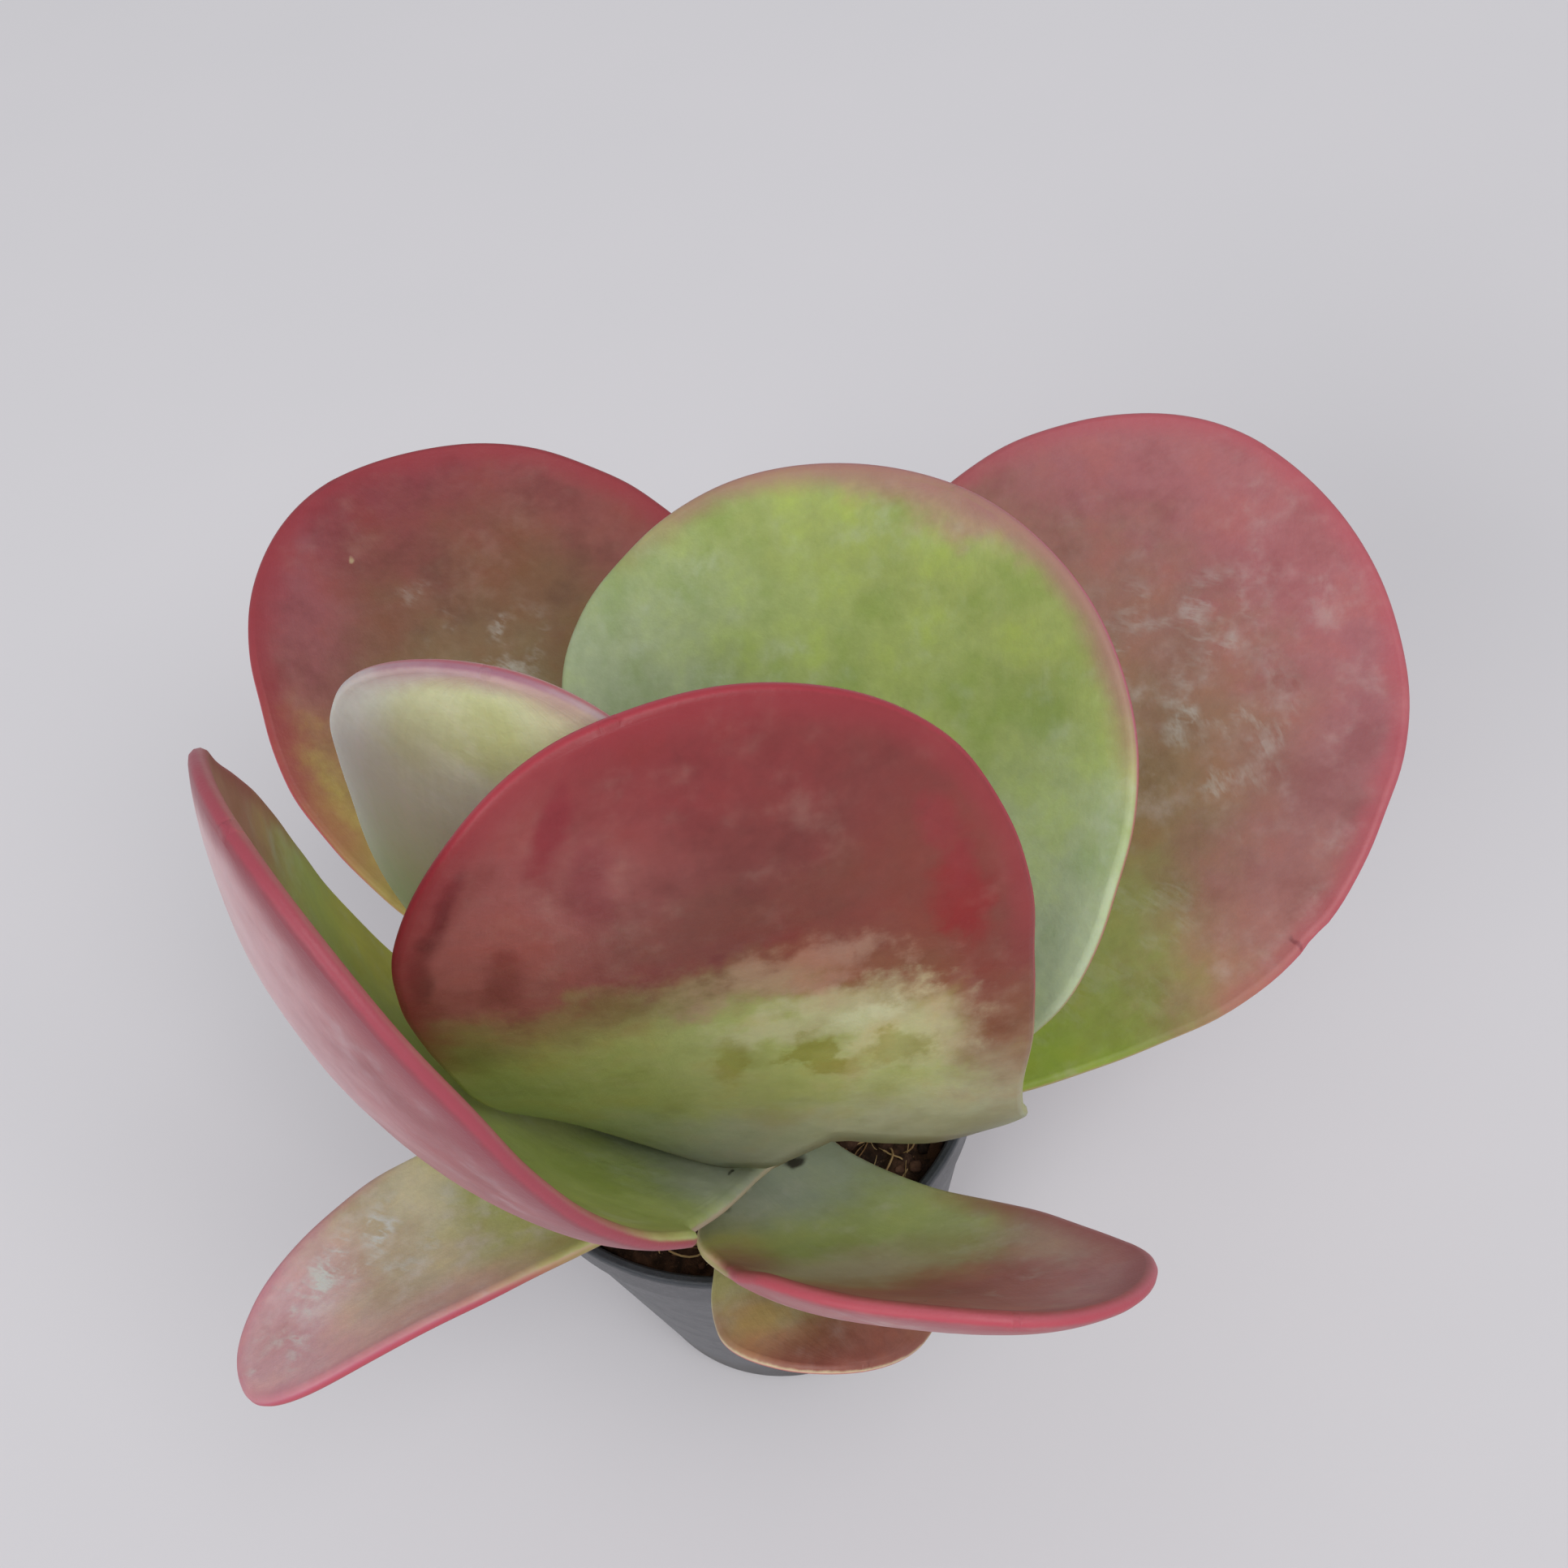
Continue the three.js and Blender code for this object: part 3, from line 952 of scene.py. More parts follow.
    def blade(self, s: np.ndarray, across: np.ndarray) -> tuple[np.ndarray, ...]:
        """Finds the blade's middle surface.

        Args:
            s: Shares of the length.
            across: Shares of the half width, of the same shape.

        Returns:
            Points, directions out of the inner face, directions past the side, and directions along.
        """
        heading = np.radians(self.heading + self.sweep * s)
        rise = np.radians(self.rise + self.lift * s)
        turn = np.radians(self.roll + self.twist * s)
        along = np.stack([np.cos(rise) * np.cos(heading), np.cos(rise) * np.sin(heading), np.sin(rise)], -1)
        level = np.stack([-np.sin(heading), np.cos(heading), 0 * heading], -1)
        upright = np.cross(along, level)
        cosine, sine = np.cos(turn)[..., None], np.sin(turn)[..., None]
        side = cosine * level + sine * upright
        inward = cosine * upright - sine * level
        reach = across * self.half_width(s) * (1 + self.lean * across)
        reach = reach + np.sign(across) * self.margin_change(s, across)
        clasp = np.clip(1 - s / CLASP_END, 0, 1) ** 2
        bend = math.radians(self.cup) / self.half + math.radians(self.clasp) / self.foot * clasp + LEAST_BEND
        angle = reach * bend
        phase = self.ripples * s + RIPPLE_SLANT * across
        room = np.clip(self.half_width(s) / (0.7 * self.half), 0, 1)
        ripple = self.wave * room * across ** 4 * np.sin(2 * math.pi * phase)
        lifted = (1 - np.cos(angle)) / bend + ripple + self.unevenness_at(s, across)
        for nick in self.nicks:
            lifted = lifted + nick.stand * nick.share(s, across, self.length)
        points = self.midrib(s) + side * (np.sin(angle) / bend)[..., None] + inward * lifted[..., None]
        cosine, sine = np.cos(angle)[..., None], np.sin(angle)[..., None]
        return points, inward * cosine - side * sine, side * cosine + inward * sine, along


class LeafBlade:
    """One leaf: its mesh, its map from foot to tip and its distances from the margin."""

    END = 0.9999
    ARC = 4
    NOSE = (30.0, 62.0)

    def __init__(self, node: str, form: LeafForm, skin: LeafSkin, slot: str = "leaf") -> None:
        """Keeps what the leaf is made from.

        Args:
            node: The CAD node that the leaf stands for.
            form: Its shape.
            skin: Its finish.
            slot: Not used.
        """
        self.node = node
        self.form = form
        self.skin = skin
        self.slot = slot

    def _ring(self, s: float, tuck: float = 0.0) -> tuple[np.ndarray, ...]:
        """Makes one ring of points round the section.

        Args:
            s: The share of the length.
            tuck: How far the faces are rounded in towards the very tip, in radians.

        Returns:
            Points, shares across, shares outwards from the inner face, and shares along.
        """
        form = self.form
        across = np.sin(math.pi / 2 * np.linspace(-1, 1, form.columns + 1))
        length = form.trimmed(s, across)
        points, inward, outward, along = form.blade(length, across)
        half = form.thickness(length, across)[:, None] / 2
        rim = MARGIN_ROUND * form.body * MARGIN_THICKNESS
        ahead = points + rim * math.sin(tuck) * along
        inner = ahead + inward * half * math.cos(tuck)
        outer = ahead - inward * half * math.cos(tuck)
        even = np.linspace(0, math.pi, self.ARC + 2)[1:-1]
        angles = np.clip(even, tuck, math.pi - tuck)

        def arc(end: int, side: int) -> np.ndarray:
            """Makes the round of one margin, from the inner to the outer face.

            Args:
                end: The margin's place in the section, 0 or -1.
                side: Its side, -1 or 1.

            Returns:
                Points in millimetres.
            """
            slope = form.edge_slope(float(length[end]), side)
            away = (side * outward[end] - slope * along[end]) / math.hypot(1, slope)
            rounded = np.cos(angles)[:, None] * half[end] * inward[end]
            return points[end] + rounded + rim * np.sin(angles)[:, None] * away

        ring = np.concatenate([inner, arc(-1, 1), outer[::-1], arc(0, -1)[::-1]])
        turned = even / math.pi
        ends = np.full(self.ARC, 1.0)
        shares = np.concatenate([across, ends, across[::-1], -ends])
        faces = np.concatenate([0 * across, turned, 0 * across + 1, turned[::-1]])
        lengths = np.concatenate([length, length[-1] * ends, length[::-1], length[0] * ends])
        return ring, shares, faces, lengths

    def _margin_distances(self, rings: list[np.ndarray], points: np.ndarray) -> np.ndarray:
        """Measures how far each point is from the blade's outline.

        Args:
            rings: The rings of points from foot to tip.
            points: The points that are measured.

        Returns:
            Distances in millimetres.
        """
        columns = self.form.columns
        right = [ring[columns + 1 + self.ARC // 2] for ring in rings]
        left = [ring[-1 - self.ARC // 2] for ring in rings]
        outline = left + right[::-1]
        dense = []
        for here, there in zip(outline, outline[1:]):
            for share in (0.0, 0.25, 0.5, 0.75):
                dense.append(here + (there - here) * share)
        tree = KDTree(len(dense))
        for i, point in enumerate(dense):
            tree.insert(Vector(point), i)
        tree.balance()
        return np.array([tree.find(Vector(point))[2] for point in points])

    def _polygons(self, size: int, count: int) -> list[tuple[int, ...]]:
        """Joins the rings into one closed skin.

        Args:
            size: How many points a ring has.
            count: How many rings there are. The point at the very tip follows them.

        Returns:
            The polygons as point numbers.
        """
        columns = self.form.columns
        last = size * (count - 1)
        polygons = []
        for start in range(0, last, size):
            for k in range(size):
                ahead = (k + 1) % size
                polygons.append((start + k, start + size + k, start + size + ahead, start + ahead))
        turn = columns + 1 + self.ARC
        back = turn + columns
        for k in range(columns):
            polygons.append((k, k + 1, back - k - 1, back - k))
        polygons += [tuple(range(columns, turn + 1)), (*range(back, size), 0)]
        for k in range(size):
            polygons.append((last + size, last + (k + 1) % size, last + k))
        return polygons

    def _mesh(self) -> bpy.types.Mesh:
        """Makes the leaf's mesh, with what its paint reads.

        Returns:
            The mesh.
        """
        form = self.form
        stations = [-HEEL / form.length]
        stations += [self.END * math.sin(math.pi / 2 * i / form.steps) for i in range(form.steps + 1)]
        sections = [self._ring(s) for s in stations]
        sections += [self._ring(self.END, math.radians(angle)) for angle in self.NOSE]
        rings, shares, faces, lengths = (list(parts) for parts in zip(*sections))
        middle, _, _, along = form.blade(np.ones(1), np.zeros(1))
        points = np.concatenate(rings + [middle + MARGIN_ROUND * form.body * MARGIN_THICKNESS * along])
        kept = {
            "margin_mm": self._margin_distances(rings, points),
            "outer_face": np.append(np.concatenate(faces), 0.5),
        }
        mesh = bpy.data.meshes.new(self.node + "_blade")
        mesh.from_pydata((points * MM).tolist(), [], self._polygons(len(rings[0]), len(rings)))
        for polygon in mesh.polygons:
            polygon.use_smooth = True
        for name, values in kept.items():
            mesh.attributes.new(name, "FLOAT", "POINT").data.foreach_set("value", values.astype(np.float32))
        across = np.append(np.concatenate(shares), 0.0) * 0.5 + 0.5
        ahead = np.append(np.concatenate(lengths), 1.0)
        corners = np.empty(len(mesh.loops), np.int32)
        mesh.loops.foreach_get("vertex_index", corners)
        pairs = np.stack([across[corners], ahead[corners]], -1)
        mesh.uv_layers.new(name="Leaf").data.foreach_set("uv", pairs.astype(np.float32).ravel())
        mesh.validate()
        return mesh

    def build(self, groups: Groups) -> bpy.types.Object:
        """Makes the leaf, dresses it and lets it stand for its node.

        Args:
            groups: The shared node groups.

        Returns:
            The leaf.
        """
        leaf = bpy.data.objects.new(self.node + "_blade", self._mesh())
        bpy.context.scene.collection.objects.link(leaf)
        leaf.data.materials.append(self.skin.material(self.node + "_skin", groups))
        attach(leaf, BODY)
        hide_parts(self.node)
        return leaf


# The other pieces


def add_mesh(
    name: str, points: np.ndarray, polygons: Sequence[Sequence[int]], smooth: bool = True
) -> bpy.types.Object:
    """Makes a mesh object.

    Args:
        name: The object's name.
        points: Its points in millimetres.
        polygons: Its polygons as point numbers.
        smooth: Whether its shading is smooth.

    Returns:
        The object.
    """
    mesh = bpy.data.meshes.new(name)
    mesh.from_pydata((np.asarray(points) * MM).tolist(), [], [tuple(map(int, p)) for p in polygons])
    mesh.validate()
    for polygon in mesh.polygons:
        polygon.use_smooth = smooth
    made = bpy.data.objects.new(name, mesh)
    bpy.context.scene.collection.objects.link(made)
    return made


def lathe(
    name: str, profile: Sequence[tuple[float, float]], sides: int, centre: tuple[float, float] = (0.0, 0.0)
) -> bpy.types.Object:
    """Turns a profile that starts and ends on the axis into a closed solid.

    Args:
        name: The object's name.
        profile: Radii and heights in millimetres, outer face first.
        sides: How many steps a turn has.
        centre: Where the axis stands.

    Returns:
        The solid.
    """
    turns = [2 * math.pi * k / sides for k in range(sides)]
    inner = profile[1:-1]
    x, y = centre
    points = [(x, y, profile[0][1])]
    for radius, height in inner:
        points += [(x + radius * math.cos(turn), y + radius * math.sin(turn), height) for turn in turns]
    points.append((x, y, profile[-1][1]))
    polygons = []
    for k in range(sides):
        ahead = (k + 1) % sides
        polygons.append((0, 1 + ahead, 1 + k))
        for i in range(len(inner) - 1):
            low, high = 1 + i * sides, 1 + (i + 1) * sides
            polygons.append((low + k, low + ahead, high + ahead, high + k))
        start = 1 + (len(inner) - 1) * sides
        polygons.append((start + k, start + ahead, len(points) - 1))
    return add_mesh(name, np.array(points), polygons)


@dataclass(frozen=True)
class PotPlastic:
    """The pot's dark plastic, dusty and scuffed outside and black inside."""

    plain: str = "55565a"
    dusty: str = "7a7a7c"
    scratched: str = "9a9a9c"
    lip: str = "282e34"
    grimy: str = "3a3129"
    inside: str = "17171a"
    lip_depth: float = 1.5
    lip_blend: float = 0.5
    grime_height: float = 5.0
    grime_reach: float = 6.0
    gloss: float = 0.45
    bump: Bump = Bump(0.3, 0.12)

    def material(self, pot: "NurseryPot") -> bpy.types.Material:
        """Makes the material.

        Args:
            pot: The pot, for where its lip and its inner wall are.

        Returns:
            The material.
        """
        made, w = new_material("pot_plastic")
        place = w.millimetres()
        split = w.put("ShaderNodeSeparateXYZ", {0: place})
        x, y, height = (split.outputs[i] for i in range(3))
        dust = w.fade(w.grain(place, 0.16, 6.0, 0.7), 0.45, 0.75)
        stretched = w.vector("MULTIPLY", place, (0.5, 0.5, 2.2))
        scratches = w.ridges(w.grain(stretched, 0.55, 5.0, 0.72), 0.5, 0.018)
        lip_foot = pot.height - self.lip_depth
        lip = w.fade(height, lip_foot, lip_foot + self.lip_blend)
        grime_top = w.sum("MULTIPLY_ADD", w.grain(place, 0.4, 4.0), -self.grime_reach, height)
        grime = w.fade(grime_top, self.grime_height, 0.0)
        radius = w.sum("SQRT", w.sum("MULTIPLY_ADD", x, x, w.sum("MULTIPLY", y, y)))
        foot = pot.base_radius - pot.wall
        slope = (pot.mouth_radius - foot) / (pot.height - pot.floor)
        wall = w.sum("MULTIPLY_ADD", height, slope, foot - pot.floor * slope + 0.3)
        above_floor = w.sum("GREATER_THAN", height, pot.floor - 0.2)
        inside = w.product(w.sum("LESS_THAN", radius, wall), above_floor)
        colour = w.blend(w.product(dust, 0.42), self.plain, self.dusty)
        layers = (
            (scratches, 0.4, self.scratched), (lip, 0.92, self.lip), (grime, 0.4, self.grimy),
            (inside, 0.85, self.inside),
        )
        for mask, strength, paint in layers:
            colour = w.blend(w.product(mask, strength), colour, paint)
        rough = w.sum("MULTIPLY_ADD", dust, 0.25, 0.42)
        relief = w.sum("MULTIPLY_ADD", w.grain(place, 2.6, 3.0), 0.5, w.product(scratches, -0.6))
        w.finish(colour, rough, self.gloss, relief, self.bump)
        return made


@dataclass
class NurseryPot:
    """The thin moulded pot, with a stepped collar, a small bead at the rim and four drain holes."""

    height: float = 50.0
    rim_radius: float = 27.5
    rim_width: float = 1.1
    bead: float = 1.3
    bead_step: float = 0.45
    collar_height: float = 4.8
    collar_step: float = 0.5
    base_radius: float = 19.5
    wall: float = 0.9
    floor: float = 1.4
    drain_radius: float = 2.4
    drain_circle: float = 12.5
    drain_holes: int = 4
    sides: int = 128
    drain_sides: int = 32
    finish: PotPlastic = PotPlastic()

    @property
    def mouth_radius(self) -> float:
        """Returns the inner radius at the rim."""
        return self.rim_radius - self.rim_width

    def inner_radius(self, z: float) -> float:
        """Finds the inner radius at a height.

        Args:
            z: The height in millimetres.

        Returns:
            The radius in millimetres.
        """
        share = (z - self.floor) / (self.height - self.floor)
        foot = self.base_radius - self.wall
        return foot + (self.mouth_radius - foot) * share

    def profile(self) -> list[tuple[float, float]]:
        """Lists the section, outer face first, with its edges rounded.

        Returns:
            Radii and heights in millimetres.
        """
        top, rim, base = self.height, self.rim_radius, self.base_radius
        collar = rim - self.bead_step
        body = collar - self.collar_step
        bead_foot = top - self.bead
        collar_foot = bead_foot - self.collar_height
        mouth = self.mouth_radius
        floor, inside = self.floor, self.inner_radius(self.floor)
        return [
            (0, 0.35), (base - 2.6, 0.35), (base - 2.2, 0.0), (base - 0.9, 0.0), (base - 0.25, 0.25),
            (base, 1.0), (base + 0.08, 1.8), (body - 0.05, collar_foot - 0.5), (body, collar_foot - 0.1),
            (body + 0.12, collar_foot + 0.02), (collar - 0.1, collar_foot + 0.05),
            (collar, collar_foot + 0.25), (collar, bead_foot - 0.1), (collar + 0.08, bead_foot),
            (rim - 0.1, bead_foot + 0.06),
            (rim, bead_foot + 0.25), (rim, top - 0.3), (rim - 0.09, top - 0.09), (rim - 0.3, top),
            (mouth + 0.3, top), (mouth + 0.09, top - 0.08), (mouth, top - 0.3),
            (inside + 0.2, floor + 1.2), (inside - 0.5, floor + 0.2), (inside - 1.2, floor), (0, floor),
        ]

    def build(self) -> bpy.types.Object:
        """Makes the pot and cuts its drain holes.

        Returns:
            The pot.
        """
        pot = lathe("nursery_pot", self.profile(), self.sides)
        low, high = -1.0, self.floor + 1.0
        drain = [(0, low), (self.drain_radius, low), (self.drain_radius, high), (0, high)]
        for i in range(self.drain_holes):
            turn = 2 * math.pi * (i + 0.5) / self.drain_holes
            spot = (self.drain_circle * math.cos(turn), self.drain_circle * math.sin(turn))
            cutter = lathe("drain_cutter", drain, self.drain_sides, spot)
            cut = pot.modifiers.new("drain", "BOOLEAN")
            cut.operation, cut.solver, cut.object = "DIFFERENCE", "EXACT", cutter
            evaluated = pot.evaluated_get(bpy.context.evaluated_depsgraph_get())
            mesh = bpy.data.meshes.new_from_object(evaluated)
            pot.modifiers.clear()
            pot.data = mesh
            bpy.data.objects.remove(cutter)
        for polygon in pot.data.polygons:
            polygon.use_smooth = abs(polygon.normal.z) < 0.98
        pot.data.materials.clear()
        pot.data.materials.append(self.finish.material(self))
        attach(pot, BODY)
        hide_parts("pot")
        return pot


@dataclass(frozen=True)
class Peat:
    """The dark, damp peat."""

    dark: str = "281b13"
    brown: str = "543b2b"
    dry: str = "7c6048"
    gloss: float = 0.25
    bump: Bump = Bump(0.7, 0.4)

    def material(self) -> bpy.types.Material:
        """Makes the material.

        Returns:
            The material.
        """
        made, w = new_material("peat")
        place = w.millimetres()
        coarse = w.grain(place, 0.45, 5.0, 0.7)
        fine = w.grain(place, 2.4, 4.0, 0.7)
        colour = w.blend(w.fade(coarse, 0.35, 0.65), self.dark, self.brown)
        colour = w.blend(w.product(w.fade(fine, 0.55, 0.75), 0.6), colour, self.dry)
        rough = w.sum("MULTIPLY_ADD", fine, 0.2, 0.75)
        w.finish(colour, rough, self.gloss, w.sum("MULTIPLY_ADD", fine, 0.6, coarse), self.bump)
        return made


@dataclass(frozen=True)
class LooseBits:
    """A finish for loose bits, which each keep a tone of their own."""

    name: str
    dark: str
    light: str
    rough: float
    gloss: float = 0.25
    bump: Bump = Bump(0.5, 0.25)

    def material(self) -> bpy.types.Material:
        """Makes the material.

        Returns:
            The material.
        """
        made, w = new_material(self.name)
        fine = w.grain(w.millimetres(), 2.0, 4.0, 0.7)
        mixed = w.sum("MULTIPLY_ADD", w.sum("SUBTRACT", fine, 0.5), 0.9, w.attribute("tone"))
        colour = w.blend(w.fade(mixed, 0.0, 1.0), self.dark, self.light)
        w.finish(colour, self.rough, self.gloss, fine, self.bump)
        return made


@dataclass(frozen=True)
class Scatter:
    """Loose lumps on the soil: how many, how large, how deep they lie and what they look like."""

    name: str
    count: int
    sizes: tuple[float, float]
    sink: float
    seed: int
    finish: LooseBits


@dataclass
class SoilBed:
    """The peat in the pot: its lumpy top, crumbs, perlite and root fibres."""

    pot: NurseryPot
    gap: float = 0.3
    drop: float = 4.6
    relief: float = 0.8
    edge_dip: float = 0.6
    rings: int = 84
    sides: int = 210
    stem: tuple[float, float] = (0.0, -12.0)
    lump_room: float = 5.6
    fibre_room: float = 5.8
    lumps: tuple[tuple[float, float, float], ...] = ((11, 13, 0.5), (5, -7, 0.3), (9, 3.5, 0.2))
    crumb_noises: tuple[tuple[float, float, float], ...] = (
        (0.6, 3.1, 0.34), (1.5, 7.7, 0.3), (3.4, 1.3, 0.2),
    )
    peat: Peat = Peat()
    scatters: tuple[Scatter, ...] = (
        Scatter("peat_crumbs", 560, (0.3, 1.35), 0.35, 11, LooseBits("peat_crumb", "1e140e", "745442", 0.85)),
        Scatter("perlite_bits", 34, (0.3, 0.95), 0.3, 17, LooseBits("perlite", "a89c86", "dcd4c2", 0.8)),
    )
    fibres: int = 600
    fibre_lengths: tuple[float, float] = (3.5, 11.0)
    fibre_radii: tuple[float, float] = (0.05, 0.13)
    fibre_steps: int = 12
    fibre_sides: int = 6
    fibre_seed: int = 23
    fibre_finish: LooseBits = LooseBits("root_fibre", "7a5838", "cdb07c", 0.7)

    def height_at(self, x: float, y: float) -> float:
        """Finds the height of the soil's top.

        Args:
            x: The place across.
            y: The place ahead.

        Returns:
            The height in millimetres.
        """
        lumps = sum(share * math.sin(2 * math.pi * (x / px + y / py)) for px, py, share in self.lumps)
        edge = (math.hypot(x, y) / self.pot.mouth_radius) ** 4
        crumb = sum(
            size * field_noise.noise(Vector((x * scale, y * scale, layer)))
            for scale, layer, size in self.crumb_noises
        )
        return self.pot.height - self.drop + self.relief * lumps - self.edge_dip * edge + crumb

    @property
    def reach(self) -> float:
        """Returns the radius of the soil's top."""
        return self.pot.inner_radius(self.pot.height - self.drop) - 2 * self.gap

    def near_stem(self, x: float, y: float, room: float) -> bool:
        """Tells whether a place is within some room of the stem's axis."""
        return math.hypot(x - self.stem[0], y - self.stem[1]) < room

    def _finish(self, piece: bpy.types.Object, finish: Union[Peat, LooseBits]) -> bpy.types.Object:
        """Dresses a piece and lets it stand for the soil.

        Args:
            piece: The piece.
            finish: Its finish.

        Returns:
            The piece.
        """
        piece.data.materials.append(finish.material())
        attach(piece, BODY)
        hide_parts("soil")
        return piece

    def build_bed(self) -> bpy.types.Object:
        """Makes the soil itself, closed below.

        Returns:
            The bed.
        """
        points = [(0.0, 0.0, self.height_at(0, 0))]
        turns = [2 * math.pi * k / self.sides for k in range(self.sides)]
        for i in range(1, self.rings + 1):
            radius = self.reach * i / self.rings
            for turn in turns:
                x, y = radius * math.cos(turn), radius * math.sin(turn)
                points.append((x, y, self.height_at(x, y)))
        bottom = self.pot.floor + self.gap
        low = self.pot.inner_radius(bottom) - 1.2 - self.gap
        for radius, z in ((self.pot.inner_radius(bottom + 1.5) - self.gap, bottom + 1.5), (low, bottom)):
            points += [(radius * math.cos(turn), radius * math.sin(turn), z) for turn in turns]
        points.append((0.0, 0.0, bottom))
        polygons = []
        for k in range(self.sides):
            ahead = (k + 1) % self.sides
            polygons.append((0, 1 + k, 1 + ahead))
            for i in range(self.rings + 1):
                here, beyond = 1 + i * self.sides, 1 + (i + 1) * self.sides
                polygons.append((here + k, beyond + k, beyond + ahead, here + ahead))
            last = 1 + (self.rings + 1) * self.sides
            polygons.append((len(points) - 1, last + ahead, last + k))
        return self._finish(add_mesh("soil_bed", np.array(points), polygons), self.peat)

    def build_bits(self, bits: Scatter) -> bpy.types.Object:
        """Makes loose lumps on the soil.

        Args:
            bits: What they are.

        Returns:
            The lumps as one piece.
        """
        draw = random.Random(bits.seed)
        ball = bmesh.new()
        bmesh.ops.create_icosphere(ball, subdivisions=2, radius=1.0)
        ball.verts.ensure_lookup_table()
        shape = np.array([v.co[:] for v in ball.verts])
        faces = [[v.index for v in f.verts] for f in ball.faces]
        ball.free()
        points, polygons, tones = [], [], []
        smallest, largest = bits.sizes
        while len(tones) < bits.count * len(shape):
            radius = (self.reach - largest) * math.sqrt(draw.random())
            turn = draw.uniform(0, 2 * math.pi)
            x, y = radius * math.cos(turn), radius * math.sin(turn)
            if self.near_stem(x, y, self.lump_room):
                continue
            size = smallest + (largest - smallest) * draw.random() ** 2.2
            stretch = np.array([draw.uniform(0.7, 1.2), draw.uniform(0.7, 1.2), draw.uniform(0.45, 0.85)])
            shift = Vector([draw.uniform(-90, 90) for _ in range(3)])
            bulge = np.array([1 + 0.55 * field_noise.noise(Vector(v) * 1.4 + shift) for v in shape])
            lump = shape * bulge[:, None] * stretch * size
            spin = np.array(Matrix.Rotation(draw.uniform(0, 2 * math.pi), 3, "Z"))
            tip = np.array(Matrix.Rotation(draw.uniform(-0.5, 0.5), 3, "X"))
            lump = lump @ (spin @ tip).T
            z = self.height_at(x, y) + size * (0.55 - bits.sink)
            start = len(tones)
            points.append(lump + np.array([x, y, z]))
            polygons += [[start + i for i in face] for face in faces]
            tones += [draw.random()] * len(shape)
        piece = add_mesh(bits.name, np.concatenate(points), polygons)
        piece.data.attributes.new("tone", "FLOAT", "POINT").data.foreach_set("value", tones)
        return self._finish(piece, bits.finish)

    def build_fibres(self) -> bpy.types.Object:
        """Makes the dry root fibres that lie on the soil.

        Returns:
            The fibres as one piece.
        """
        draw = random.Random(self.fibre_seed)
        steps, sides = self.fibre_steps, self.fibre_sides
        points, polygons, tones = [], [], []
        for _ in range(self.fibres):
            length = draw.uniform(*self.fibre_lengths)
            thick = draw.uniform(*self.fibre_radii)
            arch = draw.uniform(0.2, 1.1)
            heading = draw.uniform(0, 2 * math.pi)
            bend = draw.uniform(-0.35, 0.35)
            radius = (self.reach - 4) * math.sqrt(draw.random())
            turn = draw.uniform(0, 2 * math.pi)
            x, y = radius * math.cos(turn), radius * math.sin(turn)
            line = []
            for i in range(steps + 1):
                line.append((x, y))
                heading += bend + draw.uniform(-0.1, 0.1)
                x += length / steps * math.cos(heading)
                y += length / steps * math.sin(heading)
            if any(math.hypot(*spot) > self.reach - 0.6 for spot in line):
                continue
            if any(self.near_stem(px, py, self.fibre_room) for px, py in line):
                continue
            start = len(tones)
            for i, (px, py) in enumerate(line):
                share = i / steps
                z = self.height_at(px, py) + arch * math.sin(math.pi * share) - 0.15
                ahead = line[min(i + 1, steps)]
                behind = line[max(i - 1, 0)]
                along = Vector((ahead[0] - behind[0], ahead[1] - behind[1], 0)).normalized()
                side = Vector((-along.y, along.x, 0))
                around = thick * (1 - 0.6 * abs(2 * share - 1) ** 3)
                for k in range(sides):
                    angle = 2 * math.pi * k / sides
                    away = side * math.cos(angle) + Vector((0, 0, math.sin(angle)))
                    points.append((Vector((px, py, z)) + around * away)[:])
                    tones.append(0.0)
            tone = draw.random()
            tones[start:] = [tone] * (len(tones) - start)
            for i in range(steps):
                for k in range(sides):
                    ahead = (k + 1) % sides
                    low, high = start + i * sides, start + (i + 1) * sides
                    polygons.append((low + k, low + ahead, high + ahead, high + k))
            polygons.append([start + k for k in reversed(range(sides))])
            polygons.append([start + steps * sides + k for k in range(sides)])
        piece = add_mesh("root_fibres", np.array(points), polygons)
        piece.data.attributes.new("tone", "FLOAT", "POINT").data.foreach_set("value", tones)
        return self._finish(piece, self.fibre_finish)

    def build(self) -> list[bpy.types.Object]:
        """Makes the soil and all that lies on it.

        Returns:
            The pieces.
        """
        return [self.build_bed(), *(self.build_bits(bits) for bits in self.scatters), self.build_fibres()]


@dataclass(frozen=True)
class StemSkin:
    """The stem's skin, green above and corky below."""

    green: str = "7c8454"
    pale_green: str = "a4a678"
    cork: str = "6a5540"
    pale_cork: str = "a08a6a"
    cork_top: float = 50.0
    cork_blend: float = 3.0
    gloss: float = 0.5
    bump: Bump = Bump(0.5, 0.3)

    def material(self) -> bpy.types.Material:
        """Makes the material.

        Returns:
            The material.
        """
        made, w = new_material("stem_skin")
        place = w.millimetres()
        height = w.put("ShaderNodeSeparateXYZ", {0: place}).outputs[2]
        coarse = w.grain(place, 0.5, 4.0, 0.65)
        fibre = w.grain(w.vector("MULTIPLY", place, (1.0, 1.0, 0.3)), 1.6, 4.0, 0.7)
        green = w.blend(w.fade(coarse, 0.3, 0.7), self.green, self.pale_green)
        cork = w.blend(w.fade(fibre, 0.3, 0.7), self.cork, self.pale_cork)
        level = w.sum("MULTIPLY_ADD", coarse, 5.0, height)
        colour = w.blend(w.fade_at(level, self.cork_top, self.cork_blend), cork, green)
        w.finish(colour, w.sum("MULTIPLY_ADD", fibre, 0.2, 0.55), self.gloss, fibre, self.bump)
        return made


